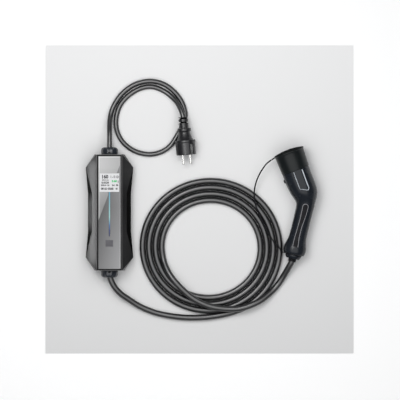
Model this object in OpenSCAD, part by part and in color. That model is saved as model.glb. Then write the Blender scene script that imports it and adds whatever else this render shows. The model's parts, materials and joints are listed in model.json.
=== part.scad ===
// Portable electric car charger, laid out flat. A control box stands between two
// leads: a short mains lead with a plug, and a long vehicle lead with a connector
// whose protective cap is held by a tether.
// Millimetres. X runs across the control box, Y along it towards the mains lead,
// Z up from the surface. The origin is the middle of the box's flat back.

/* [Control box] */
// Length of the box without its glands
box_len = 232; // [222:1:250]
// Width across the four widest corners
box_w = 95; // [92:0.5:102]
// Height from the flat back to the front rim
box_h = 54; // [52:0.5:60]
// Height of the joint between the two covers
split_h = 24; // [22:0.5:26]
// Distance along the box between the widest corners
corner_len = 180; // [166:1:190]
// Width of the two short ends
end_w = 60; // [56:0.5:66]
// Width across the waist
waist_w = 86; // [83:0.5:90]
// Length of the waist between its creases
waist_len = 77; // [60:1:90]
// Height of the waist's crease on the front flanks
crease_h = 41.5; // [36:0.5:44]
// Height of the waist's crease on the rear flanks
rear_crease_h = 8; // [6:0.5:12]
// Width of the flat back
back_w = 68; // [66:0.5:74]
// How far the back's corners stand in from the joint's corners
back_corner_in = 10; // [6:0.5:11]
// Wall of both covers
cover_wall = 3; // [2.4:0.1:3.4]
// Distance across between the cover screws
screw_span = 53; // [51:0.5:55]
// Distance from the middle to the outer pairs of cover screws
screw_pitch = 94; // [86:0.5:94]
// Diameter of the screw bosses
boss_d = 9; // [8:0.5:10]
// Height of the front cover's bosses above the joint
front_boss_h = 20; // [18:0.5:21]
// Diameter of the cover screws
screw_d = 3; // [2.6:0.1:3.4]
// Diameter of the cover screws' heads
screw_head_d = 6.6; // [6:0.1:7.2]
// Depth of the screw counterbores in the back
counterbore = 6; // [5:0.5:9]
// Width of the gasket between the covers
gasket_w = 1.2; // [0.8:0.1:1.4]
// Height of the gasket
gasket_h = 1.6; // [1:0.1:2.4]

/* [Front panel] */
// Width across the front rim
face_w = 51; // [49:0.5:53]
// Width of the bevelled rim round the panel
rim_w = 3.2; // [2.6:0.1:3.8]
// Depth of the rim's bevel down to the panel
rim_drop = 2; // [1.2:0.1:2.6]
// Flat land left at the rim's crest
rim_land = 0.8; // [0.4:0.1:1.2]
// Thickness of the panel
panel_t = 2; // [1.5:0.1:2.4]
// Radius of the panel's corners
panel_corner = 1.5; // [0.5:0.1:3]
// Width of the display
display_w = 39.4; // [34:0.1:40]
// Height of the display
display_h = 37; // [32:0.1:42]
// Distance from the box's end to the display
display_from_end = 38; // [34:0.5:44]
// Width of the light strip
strip_w = 3; // [2.4:0.1:4]
// Length of the light strip
strip_len = 89; // [70:1:92]
// Width and length of the touch key's sensing pad
key_size = 14; // [11:0.5:16]
// Gap between the light strip and the touch key
key_gap = 6.9; // [5:0.1:12]

/* [Cable glands] */
// Diameter of the gland nuts
nut_d = 34; // [32:0.5:38]
// Length of the gland nuts
nut_len = 14.5; // [13:0.5:16]
// Grip flutes round each nut
nut_flutes = 10; // [6:1:14]
// Length of the thick wall that carries each gland
gland_seat = 10; // [8:0.5:12]
// Diameter of the gland's neck in the wall
gland_neck_d = 24; // [22:0.5:26]
// Diameter of the gland's threaded barrel
gland_barrel_d = 22; // [20:0.5:23]
// Diameter of the gland's inner flange
gland_flange_d = 31; // [28:0.5:32]
// Thickness of the gland's flanges
gland_flange_t = 2; // [1.5:0.1:2.5]

/* [Electronics] */
// Width of the main board
board_w = 43; // [38:0.5:43]
// Length of the main board
board_len = 176; // [170:1:180]
// Thickness of both boards
board_t = 1.6; // [1:0.1:2]
// Height of the main board's underside above the back
board_h = 10; // [9:0.5:12]
// Width of the display board
display_board_w = 40; // [36:0.5:42]
// Distance from each end of the box to the display board
display_board_gap = 22; // [18:0.5:26]
// Gap between the display board and the cover's inner face
display_gap = 5; // [4.5:0.1:6]
// Width of each relay
relay_w = 13; // [12:0.5:15]
// Length of each relay
relay_len = 29; // [27:0.5:32]
// Height of each relay
relay_h = 22; // [18:0.5:24]
// Outer diameter of the leakage sensor's ring
sensor_d = 24; // [20:0.5:26]
// Width of the terminal blocks
terminal_w = 24; // [21:0.5:28]

/* [Mains plug] */
// Diameter of the plug's round head
plug_head_d = 39.6; // [38:0.1:41]
// Diameter of the flange behind the head
plug_flange_d = 41.6; // [41:0.1:44]
// Length of the plug's head and flange
plug_head_len = 30; // [26:0.5:34]
// Diameter of the neck behind the flange
plug_neck_d = 22; // [20:0.5:24]
// Length of the neck
plug_neck_len = 16; // [12:0.5:20]
// Diameter of the shoulder between neck and sleeve
plug_shoulder_d = 26; // [24:0.5:28]
// Length of the shoulder
plug_shoulder_len = 8; // [6:0.5:10]
// Diameter of the plug's flexible sleeve
plug_sleeve_d = 18; // [16:0.5:20]
// Length of the flexible sleeve
plug_sleeve_len = 22; // [18:0.5:26]
// Diameter of the plug's pins
pin_d = 4.8; // [4.6:0.1:5]
// Length of the pins outside the head
pin_len = 19; // [18:0.5:20]
// Distance between the pins
pin_pitch = 19; // [18:0.5:20]
// Width of the earth contacts
earth_w = 6; // [5:0.5:8]
// Turn of the plug about its own axis as it lies
plug_roll = -40; // [-60:1:0]

/* [Vehicle connector] */
// Diameter of the connector's head
head_d = 56; // [54:0.5:58]
// Wall of the grip shells
grip_wall = 2.6; // [2:0.1:3]
// Angle between the head and the handle
grip_turn = 34; // [30:1:38]
// Distance from the head's front edge to the elbow
elbow_len = 65; // [62:0.5:70]
// Width of the handle
grip_w = 34.8; // [32:0.2:38]
// Thickness of the handle
grip_t = 33.2; // [31:0.2:36]
// Width of the flare at the handle's end
flare_w = 45.6; // [42:0.2:48]
// Thickness of the flare at the handle's end
flare_t = 43.2; // [40:0.2:44]
// Length of the handle from the elbow to its end
grip_len = 110; // [104:1:116]
// Diameter of the contact nose
nose_d = 52.6; // [51:0.1:53]
// Distance from the nose's middle to its flat
nose_flat = 22.5; // [21.5:0.1:23.5]
// Length of the contact nose outside the head
nose_len = 34; // [30:0.5:36]
// Distance from the middle contact to the two beside it
contact_side = 15.5; // [15:0.1:15.7]
// Bore of the power contacts
contact_bore = 6.1; // [6:0.1:6.3]
// Bore of the pilot contacts
pilot_bore = 3.1; // [3:0.1:3.3]
// Width of the recessed panel on the head's sides
side_panel_w = 17; // [14:0.5:20]
// Length of the recessed panel
side_panel_len = 44; // [36:0.5:46]
// Depth of the recessed panel at its middle
side_panel_drop = 1.8; // [1.6:0.1:2]
// Width of the soft pads on the handle
pad_w = 10; // [8:0.5:12]
// Height of the pads above the handle
pad_proud = 0.6; // [0.3:0.1:1]
// Depth of the pads' seats in the shells
pad_seat = 1.2; // [0.8:0.1:1.4]
// Diameter of the collar that ends the handle
collar_d = 32; // [29:0.5:34]
// Diameter of the cable boot at its tip
boot_tip_d = 16.4; // [15:0.2:18]
// Length of the cable boot beyond the handle
boot_len = 15; // [13:0.5:20]

/* [Protective cap] */
// Diameter of the cap over its rim
cap_d = 62; // [60:0.5:64]
// Length of the cap from its mouth to its rim
cap_len = 40; // [38:0.5:42]
// Height of the cap's domed end
cap_dome = 4; // [3:0.5:6]
// Wall of the cap
cap_wall = 1.6; // [1.2:0.1:1.6]
// Thickness of the tether ring at the handle's end
ring_t = 1.8; // [1.4:0.1:2.2]

/* [Leads] */
// Diameter of the mains lead
mains_d = 10; // [8:0.5:11]
// Diameter of the vehicle lead
vehicle_d = 12.2; // [11:0.2:13]
// Diameter of the cap's tether
tether_d = 2.8; // [2:0.1:3.2]
// Turns of the vehicle lead in its coil
coil_turns = 4; // [3:1:4]
// Radius of the coil's innermost turn
coil_r = 98.2; // [90:0.2:100]
// Distance from one turn of the coil to the next
coil_pitch = 13.2; // [12.8:0.1:13.4]

/* [Hidden] */

$fn = 64;
fit = 0.15;
slide_gap = 0.3;
screw_bite = 0.1;
over = 1;

shell_color = [0.23, 0.24, 0.26];
dark_color = [0.09, 0.1, 0.11];
panel_color = [0.55, 0.56, 0.58];
board_color = [0.05, 0.3, 0.16];
steel_color = [0.72, 0.73, 0.75];
brass_color = [0.78, 0.66, 0.38];
lead_color = [0.12, 0.12, 0.13];
rubber_color = [0.16, 0.16, 0.17];
white_color = [0.92, 0.94, 0.95];

// Small shapes used all over

// A solid rod along Y from one place to another
module rod(from, to, d) {
    translate([0, to, 0]) rotate([90, 0, 0]) cylinder(d = d, h = to - from);
}

// A flat outline in X and Z drawn out along Y
module along_y(from, to) {
    translate([0, to, 0]) rotate([90, 0, 0]) linear_extrude(height = to - from) children();
}

// A profile of radius against length, turned about Y
module turned(profile) {
    rotate([-90, 0, 0]) rotate_extrude() polygon(profile);
}

// A washer or a groove, turned about Y
module turned_ring(from, to, inner_d, outer_d) {
    turned([[inner_d / 2, from], [outer_d / 2, from], [outer_d / 2, to], [inner_d / 2, to]]);
}

// Both sides of a shape that is drawn at positive X
module both_sides() {
    children();
    mirror([1, 0, 0]) children();
}

// A round wire between two points
module wire(from, to, d) {
    run = to - from;
    turn = atan2(run.y, run.x);
    lean = acos(run.z / norm(run));
    translate(from) rotate([0, lean, turn]) cylinder(d = d, h = norm(run), $fn = 20);
}

function arc(middle, r, from, to, steps) = [
    for (k = [0 : steps])
        let (a = from + (to - from) * k / steps)
        middle + r * [cos(a), sin(a)]
];

// Lofts and tubes: a closed skin over a row of rings with equal point counts

module skin(rings) {
    n = len(rings[0]);
    last = len(rings) - 1;
    sides = [
        for (i = [0 : last - 1], k = [0 : n - 1])
            let (a = i * n + k, b = i * n + (k + 1) % n)
            each [[a, b, b + n], [a, b + n, a + n]]
    ];
    first_cap = [[for (k = [n - 1 : -1 : 0]) k]];
    last_cap = [[for (k = [0 : n - 1]) last * n + k]];
    polyhedron(points = [for (r = rings) each r], faces = concat(first_cap, sides, last_cap));
}

function unit(v) = v / norm(v);
function way(route, i) =
    unit(route[min(i + 1, len(route) - 1)] - route[max(i - 1, 0)]);
function tube_ring(route, i, d, sides) =
    let (side = unit(cross(way(route, i), [0, 0, 1])), top = cross(side, way(route, i)))
    [for (k = [0 : sides - 1])
        route[i] + d / 2 * (cos(360 * k / sides) * side + sin(360 * k / sides) * top)];

module tube(route, d, sides) {
    skin([for (i = [0 : len(route) - 1]) tube_ring(route, i, d, sides)]);
}

// Control box: outlines and planes that the covers share

corner_run = [box_w - end_w, corner_len - box_len] / 2;
corner_normal = [-corner_run.y, corner_run.x] / norm(corner_run);
corner_reach = corner_normal * [box_w, corner_len] / 2;

// The eight-sided plan, each kind of edge set in by its own amount
function plan_quarter(side, end, corner) =
    let (x = box_w / 2 - side, y = box_len / 2 - end, reach = corner_reach - corner)
    [[(reach - corner_normal.y * y) / corner_normal.x, y],
     [x, (reach - corner_normal.x * x) / corner_normal.y]];
function plan(side, end, corner) =
    let (q = plan_quarter(side, end, corner), a = q[0], b = q[1])
    [a, b, [b.x, -b.y], [a.x, -a.y], [-a.x, -a.y], [-b.x, -b.y], [-b.x, b.y], [-a.x, a.y]];
function lift(outline, z) = [for (p = outline) [p.x, p.y, z]];

// Front flank: half width at a height, for a wall set in by an amount
flank_rise = box_h - split_h;
flank_run = (box_w - face_w) / 2;
flank_normal = [flank_rise, flank_run] / norm([flank_rise, flank_run]);
flank_gain = 1 / flank_normal.x;
function flank_x(z, inset) = face_w / 2 + flank_run * (box_h - z) / flank_rise - inset * flank_gain;

rear_side_in = (box_w - back_w) / 2;
rear_gain = norm([split_h, rear_side_in]) / split_h;
function rear_x(z) = back_w / 2 + rear_side_in * z / split_h;

pocket_z = box_h - rim_drop;
ledge_z = pocket_z - panel_t;
roof_z = ledge_z - cover_wall;
panel_w = face_w - 2 * rim_w;
display_y = box_len / 2 - display_from_end - display_h / 2;
strip_top = display_y - display_h / 2 - 0.1;
strip_low = strip_top - strip_len;
key_y = strip_low - key_gap - key_size / 2;
display_board_len = box_len - 2 * display_board_gap;
panel_len = box_len - 2 * rim_w;

// Front body between the joint plane and a smaller front rectangle
module front_body(outline, half_w, half_len, top) {
    face = [[half_w, half_len], [half_w, -half_len], [-half_w, -half_len], [-half_w, half_len]];
    polyhedron(
        points = concat(lift(outline, split_h), lift(face, top)),
        faces = [
            [7, 6, 5, 4, 3, 2, 1, 0], [8, 9, 10, 11],
            [1, 2, 9, 8], [5, 6, 11, 10], [3, 4, 10, 9], [7, 0, 8, 11],
            [0, 1, 8], [2, 3, 9], [4, 5, 10], [6, 7, 11]
        ]);
}

// The wedge that the waist takes off one side. Its lower edge runs past the joint
// plane in the facets' own planes, so the cut leaves no sliver.
module waist_wedge(crease_x, crease_z) {
    past = 1.1;
    crease = [crease_x, waist_len / 2, crease_z];
    waist = [waist_w / 2, waist_len / 2, split_h];
    tip = [box_w / 2, corner_len / 2, split_h];
    low_waist = crease + past * (waist - crease);
    low_tip = crease + past * (tip - crease);
    far = box_w / 2 + 20;
    high = crease_z + (crease_z - split_h);
    edge = [crease, low_waist, low_tip, [far, low_tip.y, low_tip.z], [far, low_tip.y, high]];
    points = concat(edge, [for (p = edge) [p.x, -p.y, p.z]]);
    hull() polyhedron(points = points, faces = [[for (i = [0 : len(points) - 1]) i]]);
}

module front_waist() {
    both_sides() waist_wedge(flank_x(crease_h, 0), crease_h);
}

module rear_waist() {
    both_sides() waist_wedge(rear_x(rear_crease_h), rear_crease_h);
}

// Inner forms that hollow the covers, each open across the joint plane
module front_hollow() {
    inner = plan(cover_wall * flank_gain, cover_wall, cover_wall * flank_gain);
    difference() {
        union() {
            front_body(inner, flank_x(roof_z, cover_wall), box_len / 2 - cover_wall, roof_z);
            translate([0, 0, split_h - over]) linear_extrude(height = over + 0.1) polygon(inner);
        }
        both_sides() translate([-cover_wall * flank_gain, 0, 0])
            waist_wedge(flank_x(crease_h, 0), crease_h);
    }
}

module rear_hollow() {
    keep = 1 - cover_wall / split_h;
    side = cover_wall * rear_gain;
    low = plan(rear_side_in * keep + side, cover_wall, back_corner_in * keep + side);
    high = plan(side, cover_wall, side);
    difference() {
        union() {
            skin([lift(low, cover_wall), lift(high, split_h)]);
            translate([0, 0, split_h - 0.1]) linear_extrude(height = over) polygon(high);
        }
        both_sides() translate([-side, 0, 0]) waist_wedge(rear_x(rear_crease_h), rear_crease_h);
    }
}

// Places that repeat on the box
module at_cover_screws() {
    for (x = [-1, 1], y = [-1, 0, 1])
        translate([x * screw_span / 2, y * screw_pitch, 0]) children();
}

standoff_x = board_w / 2 - 4;
standoff_y = board_len / 2 - 6;
module at_board_posts() {
    for (x = [-1, 1], y = [-1, 1]) translate([x * standoff_x, y * standoff_y, 0]) children();
}

front_post_y = display_board_len / 2 - 5;
front_post_x = display_board_w / 2 - 4;
display_board_z = roof_z - display_gap;
module at_front_posts() {
    for (x = [-1, 1], y = [-1, 1]) translate([x * front_post_x, y * front_post_y, 0]) children();
}

// A gland's own frame: Y points out of the box from the end wall's outer face
module at_gland(side) {
    translate([0, side * box_len / 2, split_h]) mirror([0, side < 0 ? 1 : 0, 0]) children();
}

module gland_holes() {
    for (side = [-1, 1]) at_gland(side) rod(-gland_seat - over, over, gland_neck_d + 2 * fit);
}

// The thick walls that carry the glands, each cover having its own half
module gland_seats(up) {
    intersection() {
        for (side = [-1, 1]) at_gland(side) rod(-gland_seat, -cover_wall / 2, nut_d);
        translate([-box_w / 2, -box_len / 2, up ? split_h : 0])
            cube([box_w, box_len, up ? box_h - split_h : split_h]);
    }
}

// The outline of the joint, waist included
function joint_outline() =
    let (a = [end_w / 2, box_len / 2], b = [box_w / 2, corner_len / 2],
        c = [waist_w / 2, waist_len / 2])
    [a, b, c, [c.x, -c.y], [b.x, -b.y], [a.x, -a.y],
     [-a.x, -a.y], [-b.x, -b.y], [-c.x, -c.y], [-c.x, c.y], [-b.x, b.y], [-a.x, a.y]];

gasket_in = (cover_wall - gasket_w) / 2;
module gasket_ring(clear) {
    difference() {
        offset(delta = -gasket_in + clear) polygon(joint_outline());
        offset(delta = -gasket_in - gasket_w - clear) polygon(joint_outline());
    }
}

// Covers, gasket and screws

module rear_cover() {
    color(shell_color) difference() {
        union() {
            difference() {
                skin([lift(plan(rear_side_in, 0, back_corner_in), 0),
                    lift(plan(0, 0, 0), split_h)]);
                rear_waist();
                rear_hollow();
            }
            gland_seats(false);
            at_cover_screws() cylinder(d = boss_d, h = split_h);
            at_board_posts() cylinder(d = boss_d - 2, h = board_h);
        }
        at_cover_screws() {
            translate([0, 0, -over]) cylinder(d = screw_head_d + 1.4, h = counterbore + over);
            cylinder(d = screw_d + 0.6, h = split_h + over);
        }
        at_board_posts() translate([0, 0, cover_wall])
            cylinder(d = screw_d - 0.8 - screw_bite, h = board_h);
        translate([0, 0, split_h - gasket_h / 2])
            linear_extrude(height = gasket_h) gasket_ring(fit / 2);
        gland_holes();
    }
}

module front_cover() {
    display_hole = [display_w + 2 * fit, display_h + 2 * fit];
    color(shell_color) difference() {
        union() {
            difference() {
                front_body(plan(0, 0, 0), face_w / 2, box_len / 2, box_h);
                front_waist();
                front_hollow();
            }
            gland_seats(true);
            at_cover_screws() translate([0, 0, split_h]) cylinder(d = boss_d, h = front_boss_h);
            at_front_posts() translate([0, 0, display_board_z + board_t])
                cylinder(d = boss_d - 3, h = display_gap - board_t + cover_wall / 2);
        }
        panel_pocket();
        translate([0, display_y, roof_z - over])
            linear_extrude(height = cover_wall + 2 * over) square(display_hole, center = true);
        translate([0, 0, roof_z - over])
            linear_extrude(height = cover_wall + 2 * over) strip_outline(fit);
        at_cover_screws() translate([0, 0, split_h - over])
            cylinder(d = screw_d - 2 * screw_bite, h = screw_grip + over + 0.5);
        at_front_posts() cylinder(d = screw_d - 0.8 - screw_bite, h = roof_z + cover_wall / 3);
        translate([0, 0, split_h - gasket_h / 2])
            linear_extrude(height = gasket_h) gasket_ring(fit / 2);
        gland_holes();
    }
}

// Bevelled well in the rim, with a straight seat for the panel at its foot
module panel_pocket() {
    foot = [panel_w, panel_len] / 2 + [fit, fit];
    crest = [face_w, box_len] / 2 - [rim_land, rim_land];
    slope = (crest - foot) / rim_drop;
    function box_ring(half, z) =
        [[half.x, half.y, z], [half.x, -half.y, z], [-half.x, -half.y, z], [-half.x, half.y, z]];
    skin([box_ring(foot, pocket_z), box_ring(crest + slope * over, box_h + over)]);
    translate([0, 0, ledge_z]) linear_extrude(height = panel_t + 0.1) square(2 * foot, center = true);
}

module cover_gasket() {
    color(rubber_color) difference() {
        translate([0, 0, split_h - gasket_h / 2]) linear_extrude(height = gasket_h) gasket_ring(0);
        gland_holes();
    }
}

screw_grip = 12;
module cover_screws() {
    head_h = 2.6;
    color(steel_color) at_cover_screws() difference() {
        union() {
            translate([0, 0, counterbore - head_h]) cylinder(d = screw_head_d, h = head_h);
            translate([0, 0, counterbore]) cylinder(d = screw_d, h = split_h - counterbore + screw_grip);
        }
        cross_recess(counterbore - head_h, screw_head_d);
    }
}

// The cross that a driver turns, cut upwards from the head's outer face
module cross_recess(z, head) {
    for (turn = [0, 90]) rotate([0, 0, turn])
        translate([-head * 0.3, -head * 0.08, z - over]) cube([head * 0.6, head * 0.16, over + 1.2]);
}

// Front panel and what sits behind it

module rounded_square(size, r) {
    inner = size - [2 * r, 2 * r];
    square([size.x, inner.y], center = true);
    square([inner.x, size.y], center = true);
    for (x = [-1, 1], y = [-1, 1])
        translate([x * inner.x / 2, y * inner.y / 2]) circle(r = r, $fn = 32);
}

// The light strip runs to a point at the end nearest the touch key
module strip_outline(clear) {
    half = strip_w / 2 + clear;
    high = strip_top + clear;
    low = strip_low - clear;
    taper = 6;
    polygon([[-half, high], [half, high], [half, low + taper], [half / 3, low],
        [-half / 3, low], [-half, low + taper]]);
}

module lens_panel() {
    color(panel_color) translate([0, 0, ledge_z]) linear_extrude(height = panel_t) difference() {
        rounded_square([panel_w, panel_len], panel_corner);
        translate([0, display_y]) square([display_w + 2 * fit, display_h + 2 * fit], center = true);
        strip_outline(fit);
    }
}

display_frame = 4;
display_seat = display_board_z + board_t;
// The frame stands out behind the front panel at the display's far edge only, and
// leaves the near edge to the light guide
module display_module() {
    near = display_y - display_h / 2;
    frame_w = display_board_w - 0.4;
    color(white_color) translate([0, 0, display_seat]) {
        linear_extrude(height = display_gap - board_t - fit)
            translate([-frame_w / 2, near + display_frame])
            square([frame_w, display_h]);
        linear_extrude(height = pocket_z - fit - display_seat)
            translate([-display_w / 2, near]) square([display_w, display_h]);
    }
}

// The guide's foot is wider than the strip, and stops short of the display
module light_guide() {
    foot_h = 1.4;
    foot_z = roof_z - fit - foot_h;
    color([0.55, 0.85, 0.9]) {
        translate([0, 0, foot_z]) linear_extrude(height = foot_h) difference() {
            strip_outline(strip_w / 2);
            translate([-display_w / 2, strip_top]) square([display_w, display_h]);
        }
        translate([0, 0, foot_z]) linear_extrude(height = pocket_z - fit / 2 - foot_z) strip_outline(0);
    }
}

// Display board with the strip's lamps and the touch key's pad on its front
module display_board() {
    lamps = 12;
    lamp_pitch = (strip_len - 8) / (lamps - 1);
    lamp_h = display_gap - board_t - fit - 1.8;
    color(board_color) translate([0, 0, display_board_z]) difference() {
        union() {
            linear_extrude(height = board_t)
                rounded_square([display_board_w, display_board_len], 2);
            for (k = [0 : lamps - 1])
                translate([0, strip_low + 4 + k * lamp_pitch, board_t + lamp_h / 2])
                    cube([3.4, 3, lamp_h], center = true);
            translate([0, key_y, board_t]) linear_extrude(height = display_gap - board_t - fit)
                rounded_square([key_size, key_size], 1);
        }
        at_front_posts() translate([0, 0, -over]) cylinder(d = screw_d, h = board_t + 2 * over);
    }
}

main_top = board_h + board_t;
module main_board() {
    color(board_color) translate([0, 0, board_h]) linear_extrude(height = board_t) difference() {
        rounded_square([board_w, board_len], 2);
        at_board_posts() circle(d = screw_d);
    }
}

terminal_len = 11;
terminal_h = 12;
terminal_y = board_len / 2 - 10;

// The relays stand side by side near the output's terminal block
relay_gap = 4;
relay_from_terminal = 32;
relay_y = -terminal_y + terminal_len / 2 + relay_from_terminal;
module power_relays() {
    lid_in = relay_w / 13;
    color([0.1, 0.2, 0.5]) for (x = [-1, 1])
        translate([x * (relay_w + relay_gap) / 2, relay_y, main_top]) {
            linear_extrude(height = relay_h) rounded_square([relay_w, relay_len], 1);
            translate([0, 0, relay_h]) linear_extrude(height = lid_in / 2)
                rounded_square([relay_w - 2 * lid_in, relay_len - 2 * lid_in], 1);
        }
}

// Ring core stood on its edge, so the live wires would pass along the box
sensor_t = 9;
sensor_gap = 2;
sensor_y = terminal_y - terminal_len / 2 - sensor_gap - sensor_t / 2;
module leakage_sensor() {
    core_z = main_top + sensor_d / 2;
    color(dark_color) {
        translate([0, sensor_y, core_z])
            turned_ring(-sensor_t / 2, sensor_t / 2, sensor_d / 2, sensor_d);
        translate([0, sensor_y, main_top]) linear_extrude(height = sensor_d / 5)
            square([sensor_d * 0.7, sensor_t], center = true);
    }
}

supply_side = 6;
supply_len = 46;
supply_h = 20;
supply_gap = 8;
supply_y = relay_y + (relay_len + supply_len) / 2 + supply_gap;
module supply_module() {
    size = [board_w - 2 * supply_side, supply_len];
    rim = supply_side / 4;
    color([0.13, 0.13, 0.15]) translate([0, supply_y, main_top]) difference() {
        linear_extrude(height = supply_h) rounded_square(size, 2);
        translate([0, 0, supply_h - rim / 2]) linear_extrude(height = over)
            rounded_square(size - [2 * rim, 2 * rim], 1);
    }
}

// One three-way block at each end, its wire mouths facing the glands
wire_pitch = terminal_w / 3;
wire_d = 3.2;
wire_z = main_top + terminal_h / 2;
module terminal_blocks() {
    color([0.1, 0.45, 0.25]) for (side = [-1, 1]) translate([0, side * terminal_y, main_top])
        difference() {
            translate([-terminal_w / 2, -terminal_len / 2, 0])
                cube([terminal_w, terminal_len, terminal_h]);
            for (k = [-1, 0, 1]) translate([k * wire_pitch, 0, 0]) {
                translate([0, 0, terminal_h - 2]) cylinder(d = 4.6, h = 2 + over);
                translate([0, 0, wire_z - main_top]) mirror([0, side < 0 ? 1 : 0, 0])
                    rod(0, terminal_len / 2 + over, wire_d + 2 * fit);
            }
        }
}

module board_screws() {
    color(steel_color) {
        at_board_posts() board_screw(main_top, 1);
        at_front_posts() board_screw(display_board_z, -1);
    }
}

module board_screw(seat, way_up) {
    translate([0, 0, seat]) mirror([0, 0, way_up < 0 ? 1 : 0]) difference() {
        union() {
            cylinder(d = screw_d + 2.4, h = 1.6);
            translate([0, 0, -board_t - 3]) cylinder(d = screw_d - 0.8, h = board_t + 3);
        }
        translate([0, 0, 1.6]) mirror([0, 0, 1]) cross_recess(0, screw_d + 2.4);
    }
}

// Cable glands, in the gland's own frame

module gland_body(lead_d) {
    inner = gland_flange_d / 2;
    neck = gland_neck_d / 2;
    barrel = gland_barrel_d / 2;
    bore = lead_d / 2 + 1;
    back = -gland_seat - fit;
    barrel_len = nut_len - 5;
    color(dark_color) turned([
        [bore, back - gland_flange_t], [inner, back - gland_flange_t], [inner, back], [neck, back],
        [neck, fit], [neck + 1, fit], [neck + 1, fit + 1], [barrel, fit + 1],
        [barrel, barrel_len], [barrel - 2, barrel_len], [barrel - 2, seal_from], [bore, seal_from]
    ]);
}

seal_from = 4;
module gland_seal(lead_d) {
    outer = gland_barrel_d / 2 - 2 - fit;
    tip = nut_len - 3;
    color(rubber_color) turned([
        [lead_d / 2, seal_from], [outer, seal_from], [outer, tip - 2],
        [outer - 1.4, tip], [lead_d / 2, tip]
    ]);
}

// Domed nut with grip flutes and a notch against the wall
module gland_nut(lead_d) {
    outer = nut_d / 2;
    barrel = gland_barrel_d / 2 + fit;
    flange = gland_neck_d / 2 + 1 + fit;
    mouth = lead_d / 2 + 1.8;
    lip = nut_len - 2.4;
    shoulder = 7;
    dome = [for (p = arc([outer - shoulder, nut_len - shoulder], shoulder, 0, 80, 8)) p];
    flute_d = 5;
    color(dark_color) difference() {
        turned(concat(
            [[flange, fit], [outer - 0.8, fit], [outer, fit + 0.8]], dome,
            [[mouth + 0.8, nut_len], [mouth, nut_len - 0.8], [mouth, lip], [barrel - 2.4, lip],
             [barrel, lip - 2.4], [barrel, 1.6], [flange, 1.6]]));
        for (k = [0 : nut_flutes - 1]) rotate([0, 360 * (k + 0.5) / nut_flutes, 0])
            translate([0, 0, outer + flute_d / 2 - 1]) rod(2.4, nut_len + over, flute_d);
        translate([-2.2, -over, outer - 1.6]) cube([4.4, 3.2 + over, 3]);
    }
}

// Bare wires from each lead's end to its terminal block
cable_stop = box_len / 2 - 20;
module lead_wires(side) {
    spread = 3.1;
    mouth = terminal_y + terminal_len / 2 - 3;
    color([0.5, 0.32, 0.12]) for (k = [-1, 0, 1]) {
        start = [k * spread, side * cable_stop, split_h];
        bend = [k * wire_pitch, side * (mouth + 6), wire_z];
        wire(start, bend, wire_d - 0.4);
        translate(bend) sphere(d = wire_d, $fn = 20);
        wire(bend, [k * wire_pitch, side * mouth, wire_z], wire_d - 0.4);
    }
}

// Mains plug: Y runs from the cable end to the pins, and the frame lies on its side

plug_start = [147, 190.8, 21];
plug_heading = 185;
sleeve_end = plug_sleeve_len;
shoulder_end = sleeve_end + plug_shoulder_len;
neck_end = shoulder_end + plug_neck_len;
plug_face = neck_end + plug_head_len;
module at_plug() {
    translate(plug_start) rotate([0, 0, plug_heading]) rotate([0, plug_roll, 0]) children();
}

earth_drop = 3;
module plug_body() {
    head = plug_head_d / 2;
    flange = plug_flange_d / 2;
    neck = plug_neck_d / 2;
    shoulder = plug_shoulder_d / 2;
    sleeve = plug_sleeve_d / 2;
    flange_t = 6;
    socket = 14;
    guide = 2;
    color(dark_color) at_plug() difference() {
        turned(concat(
            [[mains_d / 2, 0], [sleeve - 1, 0], [sleeve, sleeve_end]],
            arc([shoulder - 2, sleeve_end + 2], 2, -90, 0, 4),
            arc([shoulder - 2, shoulder_end - 2], 2, 0, 90, 4),
            [[neck, shoulder_end], [neck, neck_end - 3], [neck + 1.5, neck_end - 1]],
            arc([flange - 2, neck_end + 2], 2, -60, 0, 4),
            [[flange, neck_end + flange_t - 1], [head, neck_end + flange_t]],
            arc([head - 1.2, plug_face - 1.2], 1.2, 0, 90, 4),
            [[0, plug_face], [0, socket], [mains_d / 2, socket]]));
        // Two ribs' grooves round the flexible sleeve
        for (from = [0.3, 0.62]) turned_ring(from * sleeve_end, from * sleeve_end + 2.2,
            plug_sleeve_d - 3.4, plug_sleeve_d + 2);
        // Seats of the two earth contacts
        for (side = [-1, 1]) translate([0, 0, side * head]) translate(
            [-earth_w / 2 - 1.5, neck_end + flange_t + 3, -earth_drop])
            cube([earth_w + 3, plug_head_len, 2 * earth_drop]);
        // Guide slots beside the pins
        for (side = [-1, 1]) translate([side * head - guide, neck_end + flange_t + 5, -3])
            cube([2 * guide, plug_head_len, 6]);
        // Hole for a socket's earth pin
        translate([0, 0, pin_pitch / 2 + 0.5]) rod(plug_face - 18, plug_face + over, pin_d + 0.2);
        pin_places() rod(plug_face - pin_root_len, plug_face + over, pin_root_d + 0.04);
    }
}

module pin_places() {
    for (side = [-1, 1]) translate([side * pin_pitch / 2, 0, 0]) children();
}

pin_root_len = 12;
pin_root_d = 3.6;
module plug_pins() {
    r = pin_d / 2;
    round_r = pin_d / 3;
    tip = plug_face + pin_len;
    color(steel_color) at_plug() pin_places()
        turned(concat(
            [[0, plug_face - pin_root_len], [pin_root_d / 2, plug_face - pin_root_len],
             [pin_root_d / 2, plug_face], [r, plug_face]],
            arc([r - round_r, tip - round_r], round_r, 0, 90, 6), [[0, tip]]));
}

module plug_earth_contacts() {
    leaf_t = 1;
    bow = 0.8;
    from = neck_end + 6 + 3;
    bed = plug_head_d / 2 - earth_drop;
    color(brass_color) at_plug() for (side = [0, 180]) rotate([0, side, 0])
        translate([-earth_w / 2, 0, 0]) rotate([90, 0, 90]) linear_extrude(height = earth_w)
            polygon(concat(
                [[from, bed], [plug_face - 0.6, bed], [plug_face - 0.6, bed + leaf_t]],
                [[plug_face - 5, bed + leaf_t + bow], [from + 5, bed + leaf_t + bow],
                 [from, bed + leaf_t]]));
}

// Leads. Route points are places of the lead's centre line.

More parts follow.
